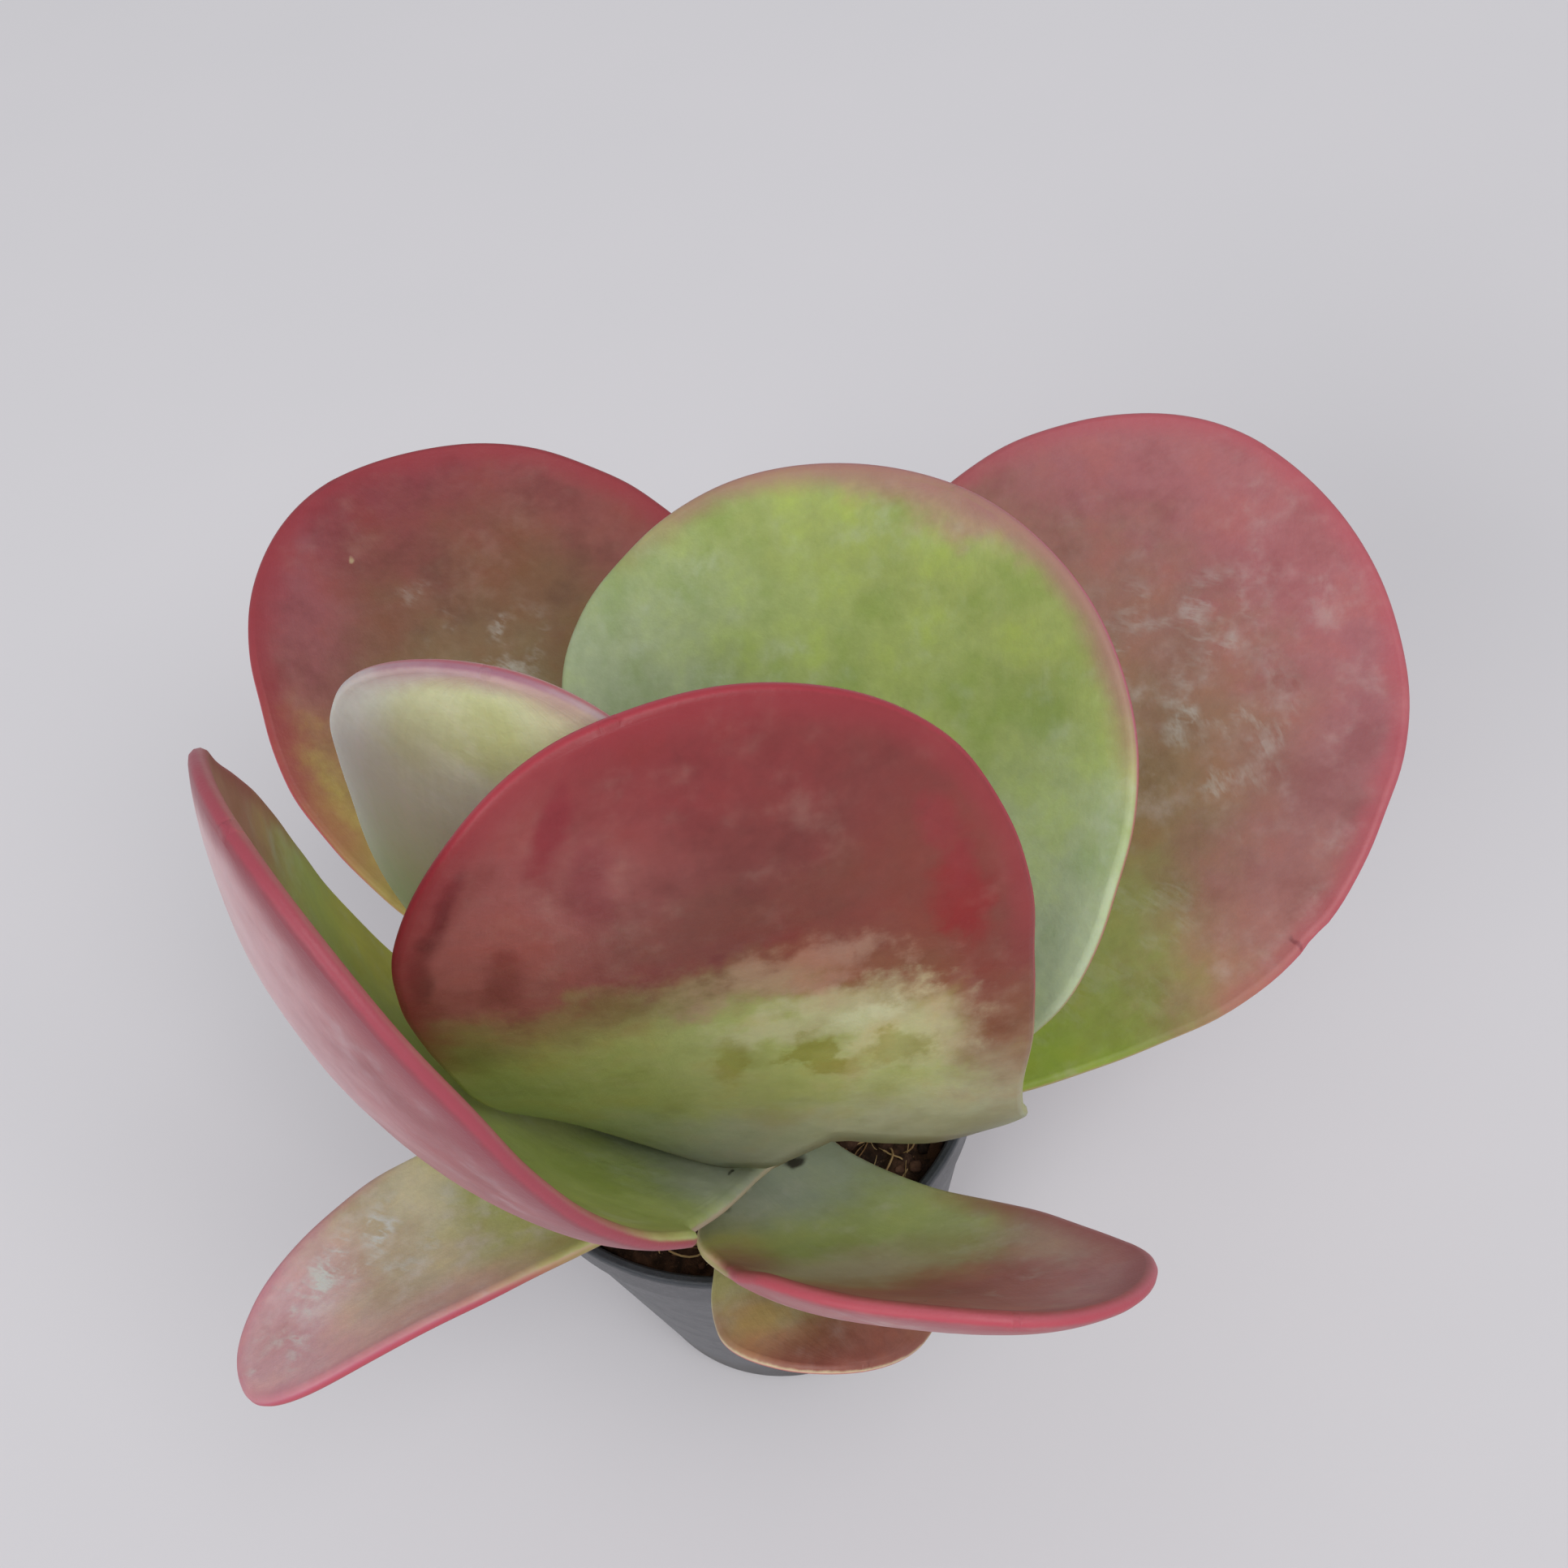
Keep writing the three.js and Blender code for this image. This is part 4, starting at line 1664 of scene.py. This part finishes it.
@dataclass
class Stem:
    """The short stem, with the scars of old leaves round it."""

    x: float = 0.0
    y: float = -12.0
    radius: float = 4.85
    top_radius: float = 4.0
    foot: float = 30.2
    top: float = 65.8
    scars: tuple[float, ...] = (47.4, 51.0, 55.5, 60.5)
    groove: float = 0.28
    groove_half: float = 0.35
    ridge: float = 0.12
    ridge_half: float = 0.5
    ridge_rise: float = 0.8
    bulge: float = 0.04
    steps: int = 96
    sides: int = 96
    finish: StemSkin = StemSkin()

    def build(self) -> bpy.types.Object:
        """Makes the stem.

        Returns:
            The stem.
        """
        profile = [(0.0, self.foot), (self.radius - 0.4, self.foot), (self.radius, self.foot + 0.5)]
        for i in range(1, self.steps):
            share = i / self.steps
            z = self.foot + 0.5 + (self.top - self.foot - 1.0) * share
            radius = self.radius + (self.top_radius - self.radius) * share ** 2
            for scar in self.scars:
                radius -= self.groove * math.exp(-((z - scar) / self.groove_half) ** 2)
                radius += self.ridge * math.exp(-((z - scar - self.ridge_rise) / self.ridge_half) ** 2)
            profile.append((radius, z))
        profile += [(self.top_radius - 0.6, self.top), (0.0, self.top)]
        stem = lathe("stem_skin", profile, self.sides, (self.x, self.y))
        for vertex in stem.data.vertices:
            away = Vector((vertex.co.x - self.x * MM, vertex.co.y - self.y * MM, 0.0))
            bulge = field_noise.noise(vertex.co / MM * 0.35)
            vertex.co += away * self.bulge * (bulge - 0.5)
        stem.data.materials.append(self.finish.material())
        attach(stem, BODY)
        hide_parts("stem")
        return stem


# The plant's leaves

FORMS: dict[str, LeafForm] = {
    "leaf_left_inner": LeafForm(
        base=(-4.9, -12.6, 61.4), length=71.5, half=20.4, foot=9.5,
        widest=0.58, shoulder=1.3, tip=2, lean=-0.13,
        heading=234.5, sweep=-2.5, rise=76.5, lift=21, roll=12.5, twist=-3.5,
        cup=26.5, clasp=30, body=0.95, wave=0.3, ripples=2.1, seed=1,
    ),
    "leaf_young": LeafForm(
        base=(1, -9.6, 63), length=40, half=15, foot=7.5,
        widest=0.58, shoulder=1.3, tip=2, lean=0.05,
        heading=54, sweep=2, rise=82, lift=10, roll=-4, twist=6,
        cup=34, clasp=30, body=0.8, wave=0.2, ripples=1.7, seed=2,
    ),
    "leaf_back_inner": LeafForm(
        base=(3, -10.4, 58.5), length=66, half=30.8, foot=9.6,
        widest=0.56, shoulder=1.2, tip=1.92, lean=0.05,
        heading=41, sweep=0.5, rise=62, lift=-17.5, roll=-2.5, twist=9,
        cup=15.5, clasp=30, body=1, wave=0.4, ripples=2.3, seed=3,
        foot_line=((-1, 0.13), (-0.5, 0.07), (0, 0)),
    ),
    "leaf_front": LeafForm(
        base=(2, -19, 58.9), length=74.5, half=24.5, foot=11,
        widest=0.61, shoulder=0.65, tip=2.1, lean=0.12,
        heading=260, sweep=22.5, rise=71.5, lift=31, roll=-11, twist=13.5,
        cup=5, clasp=17, body=1, wave=0.4, ripples=2.3, seed=4,
        nicks=(Nick(1, 0.19, -3.4, 7.0, 3), Nick(1, 0.215, -0.5, 1.4)),
        foot_line=((-1, 0), (-0.5, 0.06), (-0.1, 0.14), (0.1, 0.15), (0.4, 0.27), (0.8, 0.19), (1, 0.17)),
    ),
    "leaf_left": LeafForm(
        base=(-4.9, -13.9, 56.4), length=87, half=27.4, foot=10,
        widest=0.48, shoulder=1.2, tip=2.07, lean=-0.12,
        heading=216.5, sweep=9.5, rise=43.5, lift=60, roll=12.5, twist=-32.5,
        cup=31.5, clasp=12, body=1.1, wave=0.2, ripples=2.4, seed=5,
        nicks=(Nick(1, 0.3, 4.4, 13.0, 2), Nick(1, 0.0, -0.8, 4.5, 2), Nick(1, 0.44, 0.0, 12.0, 3, 0.9)),
    ),
    "leaf_front_right": LeafForm(
        base=(0.7, -18.5, 51.2), length=49.5, half=18.5, foot=9,
        widest=0.71, shoulder=1.45, tip=1.77, lean=0.04,
        heading=301.5, sweep=5, rise=16.5, lift=47.5, roll=-21, twist=-24.5,
        cup=25, clasp=6.5, body=1.1, wave=0.3, ripples=2.2, seed=6,
        nicks=(Nick(-1, 0.17, -1.2, 5.0, 3), Nick(-1, 0.0, 2.0, 2.5, 3), Nick(-1, 0.45, 0.0, 7.5, 3, 1.5)),
    ),
    "leaf_back_left": LeafForm(
        base=(-1.6, -5.8, 56.5), length=80, half=26.8, foot=9.4,
        widest=0.61, shoulder=1.3, tip=1.9, lean=-0.1,
        heading=108.5, sweep=13.5, rise=28, lift=-4, roll=-4, twist=10.5,
        cup=17, clasp=29.5, body=1, wave=0.4, ripples=2.6, seed=7,
    ),
    "leaf_back_right": LeafForm(
        base=(3.5, -9.5, 50.5), length=88.5, half=31.4, foot=9.3,
        widest=0.58, shoulder=1.3, tip=2, lean=-0.11,
        heading=36.5, sweep=-5.5, rise=26, lift=2, roll=1, twist=14.5,
        cup=11, clasp=37.5, body=1, wave=0.4, ripples=2.2, seed=8,
        nicks=(Nick(-1, 0.555, 0.35, 0.8),),
        foot_line=((-1, 0.17), (-0.4, 0.09), (0, 0)),
    ),
    "leaf_low_left": LeafForm(
        base=(-6.2, -11.3, 53), length=50.5, half=11.3, foot=9.3,
        widest=0.57, shoulder=1.65, tip=2.35, lean=0.09,
        heading=203, sweep=5.5, rise=33, lift=-42.5, roll=8, twist=17,
        cup=21.5, clasp=30, body=1, wave=0.2, ripples=1.6, seed=9,
    ),
    "leaf_low_front": LeafForm(
        base=(0.9, -19.1, 49.7), length=24.5, half=11.3, foot=6.6,
        widest=0.65, shoulder=1.9, tip=2, lean=0,
        heading=296, sweep=-16, rise=34, lift=-31.5, roll=-2.5, twist=-24,
        cup=-14.5, clasp=28.5, body=0.9, wave=0.2, ripples=1.5, seed=10,
    ),
    "bud_left": LeafForm(
        base=(-1.2, -11, 66.6), length=15, half=4.6, foot=3.4,
        widest=0.5, shoulder=1.2, tip=1.8, lean=0,
        heading=145, sweep=0, rise=78, lift=14, roll=0, twist=0,
        cup=40, clasp=20, body=0.5, wave=0, ripples=1, seed=11,
        steps=40, columns=20, unevenness=0.03,
    ),
    "bud_right": LeafForm(
        base=(1.2, -13, 66.6), length=13.5, half=4.4, foot=3.4,
        widest=0.5, shoulder=1.2, tip=1.8, lean=0,
        heading=325, sweep=0, rise=78, lift=14, roll=0, twist=0,
        cup=40, clasp=20, body=0.5, wave=0, ripples=1, seed=12,
        steps=40, columns=20, unevenness=0.03,
    ),
}

PALE_BACK = FaceLook(
    foot="b2be90", middle="b4b890", tip="bc9890", low=0.4, high=0.78, bloom=0.3, clouds=0.3, strand=0.06,
    blush="a8606a", blush_width=4.0, blush_amount=0.6, blush_from=0.6,
)
ROSY_BACK = FaceLook(
    foot="a4a070", middle="a87a70", tip="a65c64", low=0.22, high=0.5, bloom=0.2, clouds=0.3, strand=0.05,
    blush="a2505a", blush_width=4.0, blush_amount=0.7, blush_from=0.3,
)
BUD = LeafSkin(
    inner=FaceLook(
        foot="a8b47c", middle="acb97c", tip="b3bc84", bloom=0.15, blush="b48a80", blush_width=1.0,
        blush_from=0.85, rim_width=0.25,
    ),
    outer=FaceLook(
        foot="aab68a", middle="b2be92", tip="b8be96", bloom=0.3, blush="b48a80", blush_width=1.0,
        blush_from=0.85, rim_width=0.25,
    ),
    seed=37,
)

SKINS: dict[str, LeafSkin] = {
    "leaf_back_left": LeafSkin(
        inner=FaceLook(
            foot="80803c", middle="745238", tip="863a40", low=0.55, high=0.84, spread=0.14,
            raggedness=0.05,
            patches=(
                Patch("8e4648", -0.95, 0.72, 0.3, 0.3, 0.7),
                Patch("98525a", 0.75, 0.84, 0.35, 0.14, 0.7),
                Patch("a07450", 0.95, 0.62, 0.25, 0.12, 0.6),
                Patch("b09c4c", 0.98, 0.44, 0.25, 0.2, 0.85, 0.5, 0.7),
                Patch("7c6c4c", 0.15, 0.64, 0.4, 0.08, 0.5, 0.6, 0.6),
                Patch("c0b088", 0.24, 0.871, 0.018, 0.005, 0.6, 0.6, 0.1),
            ),
            mottle=0.35, light="c09878", dark="50302c", bloom=0.03, clouds=0.1, wax="b8a090",
            scuffs=(Scuff(-0.07, 0.66, 0.3, 0.09, 0.35), Scuff(0.0, 0.78, 0.16, 0.04, 0.18)),
            blush="98343e", blush_width=4.6, blush_amount=0.8, blush_from=0.5, rim="c23846",
            rim_foot="b48a50", rim_from=0.45, rim_width=0.5,
        ),
        outer=ROSY_BACK, seed=3,
    ),
    "leaf_back_inner": LeafSkin(
        inner=FaceLook(
            foot="b0be9a", middle="a9b970", tip="a1ae5c", low=0.58, high=0.8, spread=0.1, raggedness=0.05,
            patches=(
                Patch("bccaaa", -0.95, 0.52, 0.5, 0.18, 0.7, 0.7, 0.5),
                Patch("a0ab8a", 0.85, 0.52, 0.4, 0.2, 0.7, 0.7, 0.5),
                Patch("b0c068", -0.1, 0.74, 0.4, 0.08, 0.6, 0.8, 0.6),
                Patch("b4847c", -0.5, 0.985, 0.5, 0.035, 0.7, 0.6, 0.5),
                Patch("b4847a", 0.4, 0.982, 0.6, 0.04, 0.65, 0.6, 0.5),
                Patch("90a050", 0.5, 0.66, 0.1, 0.03, 0.4, 0.6, 0.8),
            ),
            mottle=0.45, light="dcec94", dark="648038", bloom=0.08, clouds=0.32, wax="c8d2bc",
            blush="ac7074", blush_width=3.2, blush_amount=0.85, blush_from=0.78, rim="be6c88",
            rim_foot="a6b276", rim_from=0.74, specks=0.06,
        ),
        outer=PALE_BACK, seed=5,
    ),
    "leaf_back_right": LeafSkin(
        inner=FaceLook(
            foot="8ea636", middle="927a54", tip="ac666a", low=0.44, high=0.74, spread=0.14,
            raggedness=0.06,
            patches=(
                Patch("a0626a", -0.98, 0.66, 0.35, 0.24, 0.75),
                Patch("a07866", 0.0, 0.72, 0.5, 0.12, 0.6),
                Patch("9aa060", -0.6, 0.42, 0.35, 0.08, 0.6),
                Patch("8e9c4a", -0.8, 0.38, 0.3, 0.08, 0.5, 0.7, 0.5),
                Patch("8c7e54", 0.1, 0.58, 0.35, 0.1, 0.6, 0.8, 0.5),
                Patch("a87068", -0.95, 0.5, 0.25, 0.1, 0.6),
                Patch("3a2c20", -0.985, 0.54, 0.012, 0.005, 0.9, 0.6, 0.1),
            ),
            mottle=0.35, light="d8b8a0", dark="6c4440", bloom=0.08, clouds=0.3, wax="c8b8b0",
            scuffs=(
                Scuff(-0.2, 0.76, 0.35, 0.15, 0.3), Scuff(-0.45, 0.66, 0.3, 0.16, 0.27, 1.4),
                Scuff(-0.64, 0.47, 0.2, 0.06, 0.16, 0.9), Scuff(-0.72, 0.34, 0.3, 0.08, 0.12, 0.9),
            ),
            blush="b85460", blush_width=3.4, blush_amount=0.75, blush_from=0.5, rim="ca3a54",
            rim_foot="b89a68", rim_from=0.45, rim_width=0.5, specks=0.2,
        ),
        outer=ROSY_BACK, seed=7,
    ),
    "leaf_left_inner": LeafSkin(
        inner=FaceLook(
            foot="aab878", middle="aebb7c", tip="be928a", high=0.86, spread=0.08, bloom=0.15, clouds=0.2,
            mottle=0.3, blush="bc868a", blush_from=0.85,
        ),
        # The outer face's near-white foot and middle, and its pale patch at the left margin, are partly the
        # leaf's own pale bloom and partly painted light. They brighten the pocket that leaf_front and
        # leaf_left shade.
        outer=FaceLook(
            foot="f2fff8", middle="f6fff0", tip="e0e6b8", low=0.55, high=0.84, spread=0.08,
            raggedness=0.03,
            patches=(
                Patch("f6fffc", -0.98, 0.8, 0.25, 0.26, 0.7, 0.6, 0.3),
                Patch("c8d080", 0.0, 0.92, 0.4, 0.05, 0.5, 0.7, 0.8),
                Patch("d6c89c", 0.7, 0.94, 0.3, 0.06, 0.5, 0.7, 0.6),
            ),
            mottle=0.25, light="ffffe0", dark="90986c", strand=0.07, bloom=0.1, clouds=0.2, wax="f2f4ec",
            blush="ac7486", blush_width=2.8, blush_amount=0.9, blush_from=0.93, rim="985e74",
            rim_foot="dce0d8", rim_from=0.93, specks=0.0,
        ),
        seed=11,
    ),
    "leaf_front": LeafSkin(
        inner=FaceLook(
            foot="aab878", middle="a89c6c", tip="9c5656", low=0.4, high=0.75, bloom=0.1, clouds=0.2,
            mottle=0.3, blush="a4444e", blush_width=5.0, blush_amount=0.7,
        ),
        outer=FaceLook(
            foot="a8b28e", middle="a8b26a", tip="783430", low=0.33, high=0.63, spread=0.06,
            raggedness=0.05,
            patches=(
                Patch("b46e6a", -0.78, 0.8, 0.65, 0.18, 0.85, 0.8, 0.4),
                Patch("7c3a30", 0.85, 0.64, 0.6, 0.15, 0.9, 0.4, 0.4),
                Patch("b4c088", -0.9, 0.3, 0.45, 0.16, 0.6, 0.7, 0.5),
                Patch("8e8450", -0.35, 0.62, 0.4, 0.04, 0.5, 0.7, 1.2),
                Patch("868848", -0.95, 0.57, 0.3, 0.05, 0.7, 0.7, 0.6),
                Patch("7c3a30", 1.05, 0.54, 0.3, 0.24, 0.9, 0.3, 0.4),
                Patch("8a2c32", 0.1, 1.0, 1.3, 0.12, 0.8, 0.7, 0.3),
                Patch("86181c", 0.84, 0.665, 0.08, 0.045, 0.9, 0.5, 0.8),
                Patch("8a242e", 0.86, 0.76, 0.07, 0.055, 0.7, 0.5, 0.8),
                Patch("8a2430", -0.42, 0.92, 0.09, 0.045, 0.85, 0.6, 0.8),
                Patch("86303a", -0.25, 0.84, 0.09, 0.05, 0.55, 0.6, 1.0),
                Patch("6c3c2c", 0.2, 0.73, 0.35, 0.05, 0.55, 0.8, 1.2),
                Patch("782a2c", -0.6, 0.73, 0.08, 0.05, 0.5, 0.6, 1.0),
                Patch("641e28", -0.88, 0.86, 0.06, 0.05, 0.75, 0.6, 0.8),
                Patch("5c2226", -0.93, 0.76, 0.05, 0.05, 0.6, 0.5, 0.8),
                Patch("c6c69c", 0.36, 0.54, 0.3, 0.035, 0.6, 0.5, 1.4),
                Patch("b4907c", 0.3, 0.62, 0.3, 0.03, 0.5, 0.5, 1.6),
                Patch("ccc8a0", 0.62, 0.46, 0.22, 0.06, 0.6, 0.5, 1.0),
                Patch("94963c", 0.06, 0.48, 0.07, 0.05, 0.75, 0.45, 1.4),
                Patch("90923a", 0.36, 0.47, 0.1, 0.035, 0.8, 0.4, 2.6),
                Patch("ccd0a8", 0.47, 0.505, 0.12, 0.02, 0.6, 0.5, 1.6),
                Patch("96984a", 0.56, 0.43, 0.12, 0.025, 0.65, 0.5, 2.4),
                Patch("c2c6a2", 0.75, 0.3, 0.4, 0.09, 0.5, 0.7, 0.5),
                Patch("a6ac9c", 0.1, 0.14, 0.6, 0.08, 0.6, 0.7, 0.5),
            ),
            mottle=0.35, light="c89888", dark="5c2c24", strand=0.04, bloom=0.03, clouds=0.1, wax="ccb8a4",
            blush="9a323c", blush_width=3.6, blush_amount=0.65, blush_from=0.55, rim="a83844",
            rim_foot="a8a870", rim_from=0.4, rim_width=0.5, specks=0.03,
        ),
        seed=13,
    ),
    "leaf_left": LeafSkin(
        inner=FaceLook(
            foot="a6b08a", middle="bcc978", tip="c08878", low=0.22, high=0.64, spread=0.12,
            patches=(
                Patch("ccd094", -0.3, 0.27, 0.35, 0.07, 0.6, 0.6, 0.9),
                Patch("a8b85c", 0.2, 0.26, 0.3, 0.08, 0.5),
                Patch("b0b6a6", 0.7, 0.1, 0.45, 0.1, 0.7, 0.7, 0.5),
                Patch("d0c860", -0.95, 0.36, 0.25, 0.1, 0.7),
                Patch("241a12", 0.83, 0.09, 0.018, 0.006, 0.9, 0.5, 0.5),
            ),
            mottle=0.3, light="e8f0b0", dark="708040", bloom=0.06, clouds=0.3, wax="d4dcc8",
            blush="a44c58", blush_width=2.8, blush_amount=0.8, blush_from=0.55, rim="ac4a58",
            rim_foot="ccc0a8", rim_from=0.32, specks=0.12,
        ),
        outer=FaceLook(
            foot="a08c60", middle="96585a", tip="cea6aa", low=0.2, high=0.62, spread=0.14,
            patches=(
                Patch("96585c", 0.3, 0.34, 0.4, 0.06, 0.6),
                Patch("dcc2c4", -0.55, 0.82, 0.45, 0.16, 0.7),
                Patch("964a50", 0.95, 0.78, 0.6, 0.38, 0.9, 0.7, 0.4),
            ),
            mottle=0.3, light="d8b8b8", dark="74484a", strand=0.04, bloom=0.12, clouds=0.3, wax="c8b6ba",
            blush="8c3e4a", blush_width=4.4, blush_amount=0.85, blush_from=0.42, rim="a44654",
            rim_foot="ccc0a8", rim_from=0.4, rim_width=0.6, specks=0.04,
        ),
        seed=17,
    ),
    "leaf_front_right": LeafSkin(
        inner=FaceLook(
            foot="a2ad90", middle="a9b66c", tip="ba6e6a", low=0.16, high=0.51, spread=0.15,
            raggedness=0.05,
            patches=(
                Patch("b8b868", -0.9, 0.22, 0.35, 0.08, 0.6, 0.6, 0.4),
                Patch("ccbaa8", -0.3, 0.43, 0.7, 0.09, 0.7, 0.7, 0.6),
                Patch("b0b878", 0.7, 0.42, 0.4, 0.09, 0.6, 0.7, 0.6),
                Patch("a4aea0", 0.0, 0.02, 0.9, 0.14, 0.6, 0.7, 0.5),
                Patch("c0a898", 0.95, 0.58, 0.35, 0.12, 0.6),
                Patch("c48c92", 0.8, 0.86, 0.4, 0.14, 0.6),
                Patch("a4665e", 0.0, 0.66, 0.4, 0.08, 0.4),
                Patch("b47c74", -0.85, 0.34, 0.25, 0.1, 0.65, 0.7, 0.4),
                # The two near-black marks at the foot are painted shade in the gap where this foot tucks
                # under the leaves above it.
                Patch("20160e", 0.5, -0.005, 0.14, 0.02, 0.95, 0.5, 1.0),
                Patch("3a2c1e", -0.75, 0.03, 0.08, 0.03, 0.7, 0.5, 0.8),
                Patch("dce0cc", -0.3, 0.0, 0.06, 0.02, 0.8, 0.5, 0.6),
            ),
            mottle=0.3, light="e0d8b0", dark="745444", bloom=0.05, clouds=0.25, wax="d0ccc0",
            scuffs=(Scuff(0.3, 0.7, 0.35, 0.08, 0.3),),
            blush="a64e54", blush_width=4.6, blush_amount=0.8, blush_from=0.3, rim="bc5c68",
            rim_foot="d4c898", rim_from=0.3, rim_width=0.9, specks=0.22,
        ),
        outer=ROSY_BACK, seed=19,
    ),
    "leaf_low_left": LeafSkin(
        inner=FaceLook(
            foot="b2be6a", middle="c0b494", tip="c8989c", low=0.53, high=0.76, spread=0.12,
            raggedness=0.06,
            patches=(
                Patch("d29c96", 0.95, 0.66, 0.3, 0.2, 0.6),
                Patch("d4ccb0", -0.6, 0.54, 0.5, 0.05, 0.6, 0.6, 0.8),
                Patch("cca8aa", -0.3, 0.86, 0.5, 0.12, 0.5),
            ),
            mottle=0.5, light="e8dcc0", dark="886858", bloom=0.1, clouds=0.4, wax="dcd6d0",
            scuffs=(
                Scuff(-0.3, 0.64, 0.6, 0.16, 1.0), Scuff(-0.4, 0.84, 0.5, 0.12, 1.0),
                Scuff(0.2, 0.92, 0.6, 0.08, 0.7),
            ),
            blush="b86478", blush_width=2.2, blush_amount=0.7, blush_from=0.6, rim="b85c74",
            rim_foot="d4b49c", rim_from=0.52, specks=0.1,
        ),
        outer=ROSY_BACK, seed=23,
    ),
    "leaf_low_front": LeafSkin(
        inner=FaceLook(
            foot="bcbc80", middle="aa8e6a", tip="8a5244", low=0.56, high=0.86, spread=0.13,
            patches=(Patch("a0605a", 0.4, 0.86, 0.5, 0.08, 0.5), Patch("a0a468", -0.5, 0.7, 0.4, 0.08, 0.5)),
            mottle=0.6, light="e0c8a0", dark="704838", bloom=0.05, clouds=0.2, blush="905448",
            blush_width=1.8, blush_amount=0.35, rim="e2dab0", rim_foot="dedab0", rim_width=0.6,
            rim_from=0.8, specks=0.1,
        ),
        outer=ROSY_BACK, seed=29,
    ),
    "leaf_young": LeafSkin(
        inner=FaceLook(
            foot="a4b274", middle="a8b66e", tip="b4be78", bloom=0.2, clouds=0.2, blush="b88680",
            blush_from=0.85,
        ),
        outer=FaceLook(
            foot="acb884", middle="b6c08e", tip="bcbe8c", bloom=0.3, clouds=0.2, strand=0.06,
            blush="bc8c88", blush_from=0.85,
        ),
        seed=31,
    ),
    "bud_left": BUD,
    "bud_right": replace(BUD, seed=41),
}
YOUNG = ("leaf_young", "leaf_back_inner", "leaf_left_inner", "bud_left", "bud_right")


class Crown:
    """All the leaves."""

    def build(self, groups: Groups) -> list[bpy.types.Object]:
        """Makes every leaf.

        Args:
            groups: The shared node groups.

        Returns:
            The leaves.
        """
        leaves = []
        for node, form in FORMS.items():
            slot = "young_leaf" if node in YOUNG else "leaf"
            leaves.append(LeafBlade(node, form, SKINS[node], slot).build(groups))
        return leaves


# The studio


@dataclass
class Studio:
    """The floor, the soft light and the camera."""

    floor_half: float = 1600.0
    focal_px: float = 2150.0
    image_px: float = 1932.0
    sensor: float = 36.0
    pitch: float = 51.0
    roll: float = -11.6
    eye: tuple[float, float, float] = (11.62, -101.55, 219.97)
    sky: str = "fbfbff"
    sky_strength: float = 0.45
    aim_height: float = 70.0

    def floor(self) -> bpy.types.Object:
        """Makes the pale floor.

        Returns:
            The floor.
        """
        half = self.floor_half
        corners = np.array([(-half, -half, 0.0), (half, -half, 0.0), (half, half, 0.0), (-half, half, 0.0)])
        ground = add_mesh("studio_floor", corners, [(0, 1, 2, 3)], smooth=False)
        made, w = new_material("floor_paint")
        colour = w.blend(w.grain(w.millimetres(), 0.02, 2.0), "dad9dc", "dddbde")
        w.finish(colour, rough=0.9, gloss=0.1)
        ground.data.materials.append(made)
        return ground

    def lamp(
        self, name: str, place: tuple[float, float, float], size: float, power: float, tint: str = "ffffff"
    ) -> None:
        """Adds a soft square lamp that faces the plant.

        Args:
            name: The lamp's name.
            place: Its place in metres.
            size: Its side in metres.
            power: Its power in watts.
            tint: Its colour.
        """
        light = bpy.data.lights.new(name, "AREA")
        light.energy, light.size = power, size
        light.color = linear(tint)[:3]
        made = bpy.data.objects.new(name, light)
        made.location = place
        aim = Vector((0.0, 0.0, self.aim_height * MM)) - Vector(place)
        made.rotation_euler = aim.to_track_quat("-Z", "Y").to_euler()
        bpy.context.scene.collection.objects.link(made)

    def light(self) -> None:
        """Sets the even sky and the lamps."""
        world = bpy.data.worlds.new("studio_sky")
        world.use_nodes = True
        sky = world.node_tree.nodes["Background"]
        sky.inputs["Color"].default_value = linear(self.sky)
        sky.inputs["Strength"].default_value = self.sky_strength
        bpy.context.scene.world = world
        self.lamp("soft_lamp", (1.0, -1.65, 2.75), 2.0, 50.0)
        self.lamp("left_lamp", (-1.9, -2.0, 1.7), 1.6, 31.0)
        bpy.context.scene.view_settings.view_transform = "Standard"

    def camera(self) -> None:
        """Stands the camera where the view is taken from."""
        pitch, roll = math.radians(self.pitch), math.radians(self.roll)
        ahead = Vector((0.0, math.cos(pitch), -math.sin(pitch)))
        right = Vector((1.0, 0.0, 0.0))
        down = ahead.cross(right)
        cosine, sine = math.cos(roll), math.sin(roll)
        image_right = right * cosine - down * sine
        image_down = right * sine + down * cosine
        turn = Matrix((image_right, -image_down, -ahead)).transposed()
        lens = bpy.data.cameras.new("camera")
        lens.sensor_width = self.sensor
        lens.lens = self.focal_px / self.image_px * self.sensor
        lens.clip_start, lens.clip_end = 0.01, 10.0
        made = bpy.data.objects.new("camera", lens)
        made.matrix_world = Matrix.Translation(Vector(self.eye) * MM) @ turn.to_4x4()
        bpy.context.scene.collection.objects.link(made)
        bpy.context.scene.camera = made

    def build(self) -> None:
        """Sets up the studio."""
        self.floor()
        self.light()
        self.camera()


def main() -> None:
    """Builds the studio and the plant."""
    logging.basicConfig(level=logging.INFO, format="%(message)s")
    Studio().build()
    groups = Groups()
    pot = NurseryPot()
    pieces = [pot.build(), *SoilBed(pot).build(), Stem().build(), *Crown().build(groups)]
    for piece in pieces:
        LOG.info("%s: %d polygons", piece.name, len(piece.data.polygons))


if __name__ == "__main__":
    main()
